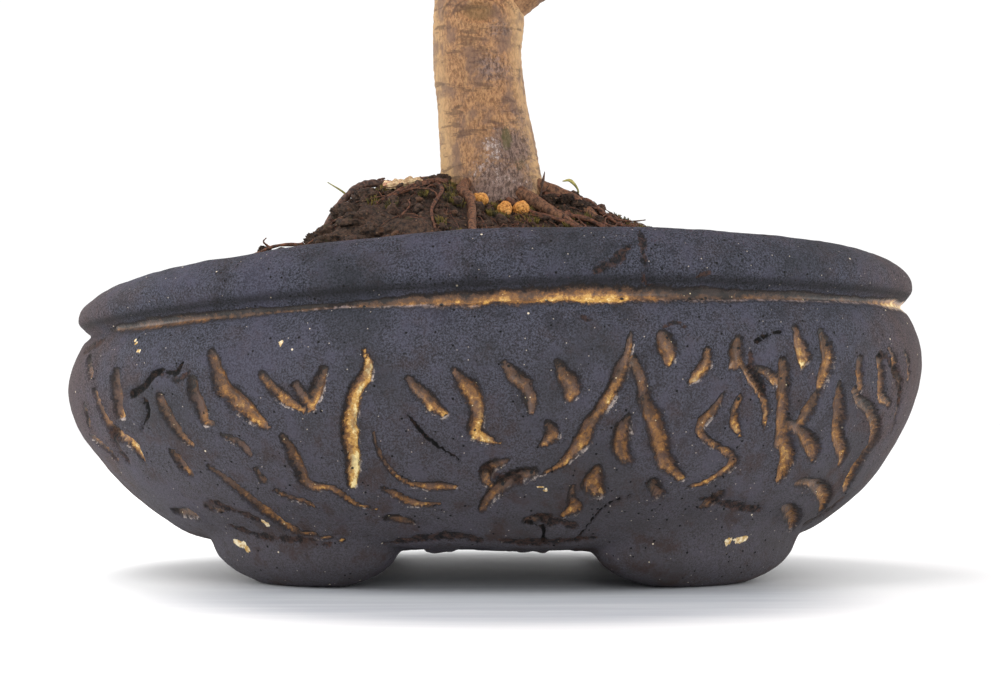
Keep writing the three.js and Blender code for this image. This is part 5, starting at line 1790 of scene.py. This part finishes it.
tan = bark.layered(
    bark.blend(fine_grain.raised(0.35, 0.65), (120, 84, 54), (184, 140, 96)),
    (streaks.raised(0.52, 0.68) * 0.5, (190, 150, 104)),
    # Painted highlight: paler tan along the trunk's left and right sides.
    (bark.kept("edge").raised(0.55, 1.0) * 0.6, (208, 174, 124)),
    (blotches.raised(0.46, 0.64) * 0.7, (112, 88, 76)),
    (level_marks.raised(0.54, 0.63) * 0.6, (82, 60, 46)),
    (flecks.raised(0.64, 0.74) * 0.4, (206, 178, 148)),
    (flecked("grey", 1.3, 0.25, 0.7) * 0.9, bark.blend(mid_grain, (72, 56, 50), (136, 114, 104))),
    (flecked("lichen", 3.4, 0.7, 1.25) * 0.8, bark.blend(mid_grain, (140, 124, 116), (206, 192, 184))),
    (flecked("moss", 1.4, 0.4, 0.75) * 0.7, (84, 78, 34)),
    (flecked("scar", 0.6, 0.3, 0.8) * 0.5, (96, 76, 40)),
    # Painted shade: dark arcs round the scar.
    (flecked("brow_shade", 0.5, 0.25, 0.8) * 0.65, (84, 60, 42)),
    (bark.kept("youth").raised(0.1, 0.9) * 0.85, young),
    (bark.kept("rootness"), bark.blend(fine_grain.raised(0.35, 0.65), (58, 38, 28), (138, 98, 70))),
)
bark_bump = bark.bump(fine_grain * 0.5 + level_marks * (0.6 - 0.6 * bark.kept("rootness")), 0.6)
finish(wood, "bark", bark.out(Base_Color=tan, Normal=bark_bump), "trunk_and_boughs")

# %% [markdown]
# ## Small things on the soil
#
# Three crumbly feed lumps lie at the foot of the trunk, with a pale chip of old wood to their left. A dark
# root loops out there, and a grass blade, a dry sprig and a curled seedling stand in the soil. Lumps and chip
# are rounded cubes whose skin noise pushes in and out, and the stems are tubes.

# %% Feed lumps
PELLETS = 3
PELLET_BUMP = 1.15
FLORET_DEPTH = 0.9
FLORET_TOP = 0.42


def node_middle(node):
    return np.array(middle_of(node)) - POT_MIDDLE


def node_radius(node):
    low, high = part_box(node)
    return min((high - low)[:2]) / 2 / MM


feed = Finish("pressed_feed", Roughness=0.8)
feed_grain = feed.mottle(0.8, 3.0, 0.65)
feed_cloud = feed.mottle(3.2, 2.0, 0.5)
feed_tone = feed.blend(feed_grain.raised(0.28, 0.66), (150, 92, 36), (232, 168, 86))
feed_tone = feed.blend(feed_cloud.raised(0.55, 0.7) * 0.5, feed_tone, (216, 168, 104))
pressed_feed = feed.out(Base_Color=feed_tone, Normal=feed.bump(feed_grain, 0.3))
ball_points, ball_faces = round_grain(29)
for number in range(1, PELLETS + 1):
    node = f"feed_pellet_{number}"
    radius = node_radius(node)
    own = ball_points * radius + number * 9.0
    florets = np.abs(wander(own, 1.5, 41)) + 0.4 * np.abs(wander(own, 0.7, 42, 1))
    swells = 0.9 * wander(own, 3.4, 43, 1)
    reach = radius * PELLET_BUMP + swells - FLORET_DEPTH * (FLORET_TOP - np.minimum(florets, FLORET_TOP))
    lump = ball_points * reach[:, None]
    pellet = new_piece(f"feed_lump_{number}", lump + node_middle(node), ball_faces)
    finish(pellet, "feed_pellet", pressed_feed, node)

# %% Chip of old wood
CHIP_SIZE = (10.5, 4.6, 1.9)
CHIP_PLACE = (-30, -18, 0.6)
CHIP_TURN = 0.4
CHIP_SWELL = 1.12

chip_points, chip_faces = rounded_cube(21, 0.55)
chip_points = chip_points * CHIP_SIZE * CHIP_SWELL
splinter = wander(chip_points * [0.35, 1, 1], 1.2, 43, 3)
flakes = np.abs(wander(chip_points, 2.2, 44, 2))
chip_points += unit_rows(chip_points * [0.3, 1, 3]) * (0.8 * splinter + 1.1 * flakes - 0.3)[:, None]
chip_points = np.array([turned(point, np.array([0.0, 0.0, 1.0]), CHIP_TURN) for point in chip_points])
x, y, above = CHIP_PLACE
chip_points[:, 2] += soil_height(chip_points[:, 0] + x, chip_points[:, 1] + y) + above
chip_points[:, :2] += (x, y)
chip = new_piece("old_wood_chip", chip_points, chip_faces)
straw = Finish("pale_old_wood", Roughness=0.85)
straw_fibre = straw.mottle(0.9, 4.0, 0.7, (0.4, 1, 1))
straw_tone = straw.blend(straw_fibre.raised(0.3, 0.7), (150, 116, 84), (238, 214, 168))
straw_tone = straw.blend(straw.mottle(3.1).raised(0.56, 0.66) * 0.6, straw_tone, (214, 150, 128))
finish(chip, "straw_chip", straw.out(Base_Color=straw_tone, Normal=straw.bump(straw_fibre, 0.3)), "bark_chip")

# %% Loop root
LOOP_ROOT = [(-34, -14, 1), (-43, -18, 3), (-50, -21, 4), (-54, -24, 1), (-57, -27, -2)]
LOOP_ROOT_RADIUS = 1.2


def knobbly(size, amount):
    """A shape for a tube: rings and knots of a size in mm, of an amount in mm."""
    return lambda points, around, share: amount * field(points, size, 45)


loop_curve = smooth_curve(on_soil(LOOP_ROOT))
loop_skin = tube(loop_curve, tapered(LOOP_ROOT_RADIUS, LOOP_ROOT_RADIUS), 16, 90, knobbly(1.6, 0.32))
loop_root = new_piece("dark_loop_root", *loop_skin)
dark_skin = grained("dark_root_skin", 0.7, 1.3, (0.32, 0.7), (40, 28, 24), (104, 76, 62))
finish(loop_root, "root", dark_skin, "surface_root_loop")

# %% Grass blade, seedling and dry sprig
SPRIGS = {
    "grass_blade": [(-45.5, -8, -2.5), (-49, -8, 6), (-55, -9, 16)],
    "seedling": [(25.5, 1, -2.5), (27.5, 1, 2.5), (25, 0.5, 5.2), (22.3, 0.5, 4.4)],
    "dry_sprig": [(14.5, -7.3, -2.5), (15.2, -7, 3), (16.2, -6.5, 8.2)],
}
GRASS_RADII = (0.5, 0.42, 0.3, 0.14)
SEEDLING_RADII = (0.34, 0.3, 0.34, 0.62, 0.2)
SPRIG_RADII = (0.5, 0.36, 0.24, 0.5, 0.12)
SIDE_TWIG = [(15, -7.1, 1.6), (16.2, -7.2, 2.6), (17.4, -7.4, 4.2)]


def run_of(radii):
    return lambda share: float(np.interp(share, np.linspace(0, 1, len(radii)), radii))


def stem(points, radius_at, sides, steps):
    return tube(smooth_curve(on_soil(points)), radius_at, sides, steps)


pale_green = clouded("pale_green_shoot", 0.5, (120, 118, 56), (186, 180, 104))
grass = new_piece("grass_leaf_blade", *stem(SPRIGS["grass_blade"], run_of(GRASS_RADII), 10, 40))
finish(grass, "green_shoot", pale_green, "grass_blade")
seedling = new_piece("curled_seedling", *stem(SPRIGS["seedling"], run_of(SEEDLING_RADII), 10, 48))
finish(seedling, "green_shoot", pale_green, "seedling")
sprig_parts = [stem(SPRIGS["dry_sprig"], run_of(SPRIG_RADII), 10, 36)]
sprig_parts.append(stem(SIDE_TWIG, tapered(0.3, 0.14), 8, 16))
sprig = new_piece("small_dry_sprig", *gathered(sprig_parts))
finish(sprig, "root", dark_skin, "dry_sprig")

# %% [markdown]
# ## Drain screens and their wires
#
# A plastic mesh keeps the soil in over each drain hole, and a bent wire holds it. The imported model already
# has both in full shape, so they only get a finish.

# %% Drain screens and their wires
mesh_plastic = Finish("black_mesh_plastic", Roughness=0.55)
dust = mesh_plastic.mottle(3.0, 3.0, 0.6)
plastic_tone = mesh_plastic.blend(dust.raised(0.5, 0.75) * 0.5, (28, 29, 31), (84, 72, 60))
screen_finish = mesh_plastic.out(Base_Color=plastic_tone, Normal=mesh_plastic.bump(dust, 0.1))
tie_wire = Finish("aluminium_tie_wire", Metallic=1.0)
scuffs = tie_wire.mottle(1.2, 3.0, 0.6)
wire_tone = tie_wire.blend(scuffs.raised(0.4, 0.7), (196, 198, 202), (142, 140, 138))
wire_finish = tie_wire.out(Base_Color=wire_tone, Roughness=0.28 + 0.25 * scuffs)
for end in ("left", "right"):
    for node, material in ((f"drain_screen_{end}", screen_finish), (f"screen_wire_{end}", wire_finish)):
        for material_slot in bpy.data.objects[node].material_slots:
            material_slot.material = material
print("screens and wires finished")

# %% [markdown]
# ## Leaves
#
# The leaves are small and palmate: five pointed lobes on a thin red stalk. A leaf is a closed skin with a top
# and an underside that meet along its outline. Its points carry their place on the blade, so that one finish
# can draw the five veins on every leaf.

# %% One leaf
LOBES = [(-84, 0.6), (-42, 0.92), (0, 1.0), (42, 0.92), (84, 0.6)]
NOTCHES = [(-62, 0.25), (-21, 0.34), (21, 0.34), (62, 0.25)]
LOBE_WIDTHS = [(0.5, -0.12), (0.78, -0.062), (1.0, 0.0), (0.78, 0.062), (0.5, 0.12)]
VEIN_MARK = 0.52
LOBE_DROP = 0.16
EDGE_LIFT = 0.025
LEAF_THICK = 0.024


def leaf_shape():
    """A leaf of length 1 as points (across, along, above) and faces, first its outline and then its veins."""
    outline = [(0.0, -0.01)]
    for index, (degrees, reach) in enumerate(LOBES):
        turn = math.radians(degrees)
        for share, aside in LOBE_WIDTHS:
            along, beside = share * reach, aside * (0.35 + 0.65 * reach)
            outline.append((
                math.sin(turn) * along + math.cos(turn) * beside,
                math.cos(turn) * along - math.sin(turn) * beside,
            ))
        if index < len(NOTCHES):
            turn, reach = math.radians(NOTCHES[index][0]), NOTCHES[index][1]
            outline.append((math.sin(turn) * reach, math.cos(turn) * reach))
    veins = [(0.0, 0.05)]
    for degrees, reach in LOBES:
        turn = math.radians(degrees)
        veins.append((math.sin(turn) * reach * VEIN_MARK, math.cos(turn) * reach * VEIN_MARK))
    first, count = len(outline), len(veins)
    flat = np.array(outline + veins + veins)
    above = -LOBE_DROP * (flat**2).sum(1)
    above[:first] += EDGE_LIFT
    above[first:] += np.repeat([LEAF_THICK / 2, -LEAF_THICK / 2], count)
    faces = []
    for base, is_top in ((first, True), (first + count, False)):
        for index in range(len(LOBES)):
            left = 1 + 6 * index
            vein = base + 1 + index
            before = left - 1 if index else 0
            after = left + 5 if index < len(NOTCHES) else 0
            fans = [(vein, left + step + 1, left + step) for step in range(4)]
            fans += [(base, vein, left, before), (base, after, left + 4, vein)]
            faces += [fan if is_top else fan[::-1] for fan in fans]
    return np.column_stack([flat, above]), faces


LEAF_POINTS, LEAF_FACES = leaf_shape()
print("points and faces of a leaf:", len(LEAF_POINTS), len(LEAF_FACES))

# %% [markdown]
# ## Shoots
#
# Five shoots spread from the bud of each spray. Shoots set at random would run through each other, so ten
# plans are drawn for each, and the one with the most room round it is taken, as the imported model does.

# %% Shoots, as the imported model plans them
SHOOTS = 5
SHOOT_SPREAD = (math.radians(52), math.radians(68))
SHOOT_LENGTH = (26, 36)
PETIOLE = 9
PETIOLE_DROP = 1.5
SHOOT_BENDS = (0, 0.25, -0.25, 0.5, -0.5)
SHOOT_SHARES = (1, 0.86)
WOOD_MARKS = 8
BLADE_LENGTH = (25, 31)
BLADE_DROOP = (math.radians(26), math.radians(60))
BLADE_ROLL = 0.35


def arc_between(start, end, lift, steps):
    """Points from start to end that rise in the middle."""
    shares = np.linspace(0, 1, steps + 1)[:, None]
    return start + (end - start) * shares + np.array([0, 0, lift]) * np.sin(shares * math.pi)


def between(pair, share):
    return pair[0] + (pair[1] - pair[0]) * share


def blade_tilt(level, droop, roll):
    """The midrib and the sideways direction of a blade that points along a level direction and hangs."""
    flat = unit(np.array([level[0], level[1], 0]))
    midrib = flat * math.cos(droop) - np.array([0, 0, math.sin(droop)])
    across = unit(np.cross(midrib, (0, 0, 1)))
    return midrib, turned(across, midrib, roll)


def shoot_plan(index, shoot, bend, length_share):
    """A shoot's heading, its path from bud to blade, and the blade's tilt and length."""
    place = places[index]
    roll = (shoot / (SHOOTS - 1) + draw(index, DRAWS["roll"])) * 2 * math.pi + bend
    spread_angle = between(SHOOT_SPREAD, draw(index, shoot, DRAWS["spread"]))
    lean = bend * 0.6 if shoot == 0 else spread_angle
    sideways = place["aside"] * math.cos(roll) + place["rise"] * math.sin(roll)
    heading = place["outward"] * math.cos(lean) + sideways * math.sin(lean)
    length = between(SHOOT_LENGTH, draw(index, shoot, DRAWS["length"])) * length_share
    knee = place["hub"] + heading * length
    level = unit(heading * [1, 1, 0.3])
    foot = knee + level * PETIOLE - np.array([0, 0, PETIOLE_DROP])
    droop = between(BLADE_DROOP, (1 - max(0, place["lift"])) * draw(index, shoot, DRAWS["droop"]))
    turn = (2 * draw(index, shoot, DRAWS["tilt"]) - 1) * BLADE_ROLL + bend * 0.5
    midrib, across = blade_tilt(level, droop, turn)
    blade = between(BLADE_LENGTH, draw(index, shoot, DRAWS["blade"]))
    plan = {"heading": heading, "hub": place["hub"], "knee": knee, "foot": foot, "droop": droop}
    return {**plan, "midrib": midrib, "across": across, "blade": blade}


def markers(plan):
    """Points that stand for a leafy shoot when its distance from others is judged."""
    foot, blade = plan["foot"], plan["blade"]
    spots = [plan["hub"] + (plan["knee"] - plan["hub"]) * 0.6, plan["knee"], foot]
    for along, aside in ((0.45, 0), (0.9, 0), (0.6, -0.55), (0.6, 0.55)):
        spots.append(foot + plan["midrib"] * along * blade + plan["across"] * aside * blade)
    return np.array(spots)


def room(plan, taken):
    apart = markers(plan)[:, None] - taken[None]
    return np.sqrt((apart**2).sum(2)).min()


taken = np.array([spot for curve in [*carriers, *twigs] for spot in curve.spaced(WOOD_MARKS)])
shoots = []
for index in range(SPRAYS):
    for shoot in range(SHOOTS):
        plans = [shoot_plan(index, shoot, bend, part) for part in SHOOT_SHARES for bend in SHOOT_BENDS]
        best = max(plans, key=lambda plan: room(plan, taken))
        taken = np.concatenate([taken, markers(best)])
        shoots.append(best)
print("leafy shoots:", len(shoots))

# %% [markdown]
# ## Finish of the leaves
#
# The leaves are crimson with paler veins. An unwrapped picture could show veins, but this finish draws them
# itself: each point of a leaf keeps its place on the blade, and its angle and distance from the leaf's foot
# say how near a vein is. Each leaf also has its own tint, and stalks are a duller red.

# %% Finish of the leaves
HALF_LOBE_TURN = 0.3665
SIDE_VEINS = 11
VEIN_SLANT = 1.1

leafy = Finish("red_maple_leaf", Roughness=0.42)
blade_across, blade_along = leafy.kept("blade_across"), leafy.kept("blade_along")
bearing = leafy.maths("ARCTAN2", blade_across, blade_along)
lobe_turn = leafy.maths("WRAP", bearing, HALF_LOBE_TURN, -HALF_LOBE_TURN)
from_foot = leafy.maths("SQRT", blade_across * blade_across + blade_along * blade_along)
beside_vein = leafy.maths("ABSOLUTE", leafy.maths("SINE", lobe_turn) * from_foot)
main_vein = 1 - beside_vein.raised(0.004, 0.018)
side_place = leafy.maths("FRACT", (from_foot - VEIN_SLANT * beside_vein) * SIDE_VEINS)
side_vein = side_place.raised(0.78, 0.95) * 0.55
leaf_cloud = leafy.mottle(5, 2.0, 0.5)
tint = leafy.kept("tint") + (leaf_cloud - 0.5) * 0.5
red = leafy.layered(
    leafy.blend(tint.raised(0.0, 0.55), (126, 12, 30), (188, 26, 44)),
    (tint.raised(0.5, 1.05), (226, 70, 62)),
    (beside_vein.raised(0.03, 0.13) * 0.35, (150, 14, 34)),
    ((main_vein + side_vein * 0.5) * 0.55, (236, 120, 104)),
    (leafy.kept("stalk"), leafy.blend(leaf_cloud.raised(0.3, 0.7), (112, 44, 36), (150, 52, 50))),
)
leaf_bump = leafy.bump(main_vein * 0.6 + side_vein * 0.4, 0.25)
red_leaf = leafy.out(Base_Color=red, Normal=leaf_bump)

# %% [markdown]
# ## Sprays
#
# Maple leaves stand in opposite pairs. A shoot carries two pairs and one leaf at its tip, which makes 700
# leaves, so each has only a few dozen faces. All of a spray is gathered into one piece.

# %% Grow the sprays
BUD_RADIUS = 1.7
BUD_LENGTH = 2.4
PAIRS = [(0.42, 0.74), (0.76, 0.84)]
PAIR_PETIOLE = 6.5
PAIR_ROLL = 0.45
FOLD_ANGLE = math.radians(50)


class Foliage:
    """Leaves and stalks gathered into one mesh, with the numbers that their finish reads."""

    def __init__(self):
        self.parts = []
        self.notes = []

    def add(self, points, faces, across=0.0, along=-1.0, tint=0.5, is_stalk=1.0):
        rows = np.zeros((len(points), 4))
        rows[:, 0], rows[:, 1], rows[:, 2], rows[:, 3] = across, along, tint, is_stalk
        self.parts.append((points, faces))
        self.notes.append(rows)

    def add_stalk(self, start, end, lift, radii, sides=5):
        self.add(*stalk(arc_between(start, end, lift, len(radii) - 1), radii, sides))

    def add_leaf(self, foot, midrib, across, length, tint, curl):
        face = np.cross(across, midrib)
        beside, along, above = LEAF_POINTS.T
        above = above - curl * along * np.abs(along) - 0.5 * curl * beside**2
        shape = np.outer(beside, across) + np.outer(along, midrib) + np.outer(above, face)
        self.add(foot + shape * length, LEAF_FACES, beside, along, tint, 0.0)

    def grown(self, name):
        piece = new_piece(name, *gathered(self.parts))
        for column, title in enumerate(("blade_across", "blade_along", "tint", "stalk")):
            note(piece, title, np.concatenate(self.notes)[:, column])
        return piece


def grow_spray(index):
    """One spray: its stem and bud, and its shoots with two pairs of leaves and one at the tip."""
    foliage = Foliage()
    place = places[index]
    hub, outward = place["hub"], place["outward"]
    foliage.add_stalk(hub - outward * STEM_LENGTH, hub, 0, (1.2, 1.3, BUD_RADIUS), 7)
    foliage.add_stalk(hub, hub + outward * BUD_LENGTH, 0, (BUD_RADIUS, 1.3, 0.3), 7)
    for shoot in range(SHOOTS):
        plan = shoots[index * SHOOTS + shoot]

        def chance(key):
            return draw(index, shoot, key)

        arch = 1.6 * chance(101) - 0.4
        foliage.add_stalk(hub, plan["knee"], arch, np.linspace(0.95, 0.62, 7))
        foliage.add_stalk(plan["knee"], plan["foot"], 0.8, (0.5, 0.36, 0.34, 0.42))
        tint = 0.15 + 0.8 * chance(103)
        curl = 0.02 + 0.12 * chance(104)
        foliage.add_leaf(plan["foot"], plan["midrib"], plan["across"], plan["blade"], tint, curl)
        side = unit(np.cross(plan["heading"], plan["midrib"] + [0, 0, 0.9]))
        for pair, (share, size) in enumerate(PAIRS):
            node = hub + (plan["knee"] - hub) * share + [0, 0, arch * math.sin(share * math.pi)]
            for hand in (-1, 1):
                keys = 10 * pair + hand + 110
                out = unit(plan["heading"] * (0.55 + 0.35 * chance(keys)) + side * hand + [0, 0, 0.25])
                reach = PAIR_PETIOLE * (0.75 + 0.5 * chance(keys + 40))
                foot = node + out * reach - np.array([0, 0, 0.6])
                foliage.add_stalk(node, foot, 0.7, (0.46, 0.34, 0.32, 0.4))
                droop = plan["droop"] * (0.6 + 0.5 * chance(keys + 80))
                roll = (2 * chance(keys + 120) - 1) * PAIR_ROLL
                midrib, across = blade_tilt(unit(out * [1, 1, 0.3]), droop, roll)
                length = plan["blade"] * size * (0.88 + 0.2 * chance(keys + 160))
                tint = 0.1 + 0.85 * chance(keys + 200)
                foliage.add_leaf(foot, midrib, across, length, tint, 0.03 + 0.14 * chance(keys + 240))
    return foliage.grown(f"maple_spray_{index + 1:02d}")


for index in range(SPRAYS):
    spray = grow_spray(index)
    finish(spray, "red_leaf", red_leaf, f"leaf_spray_{index + 1:02d}")
    bpy.ops.object.shade_smooth_by_angle(angle=FOLD_ANGLE)
print("open edges of the last spray:", open_edges(spray))
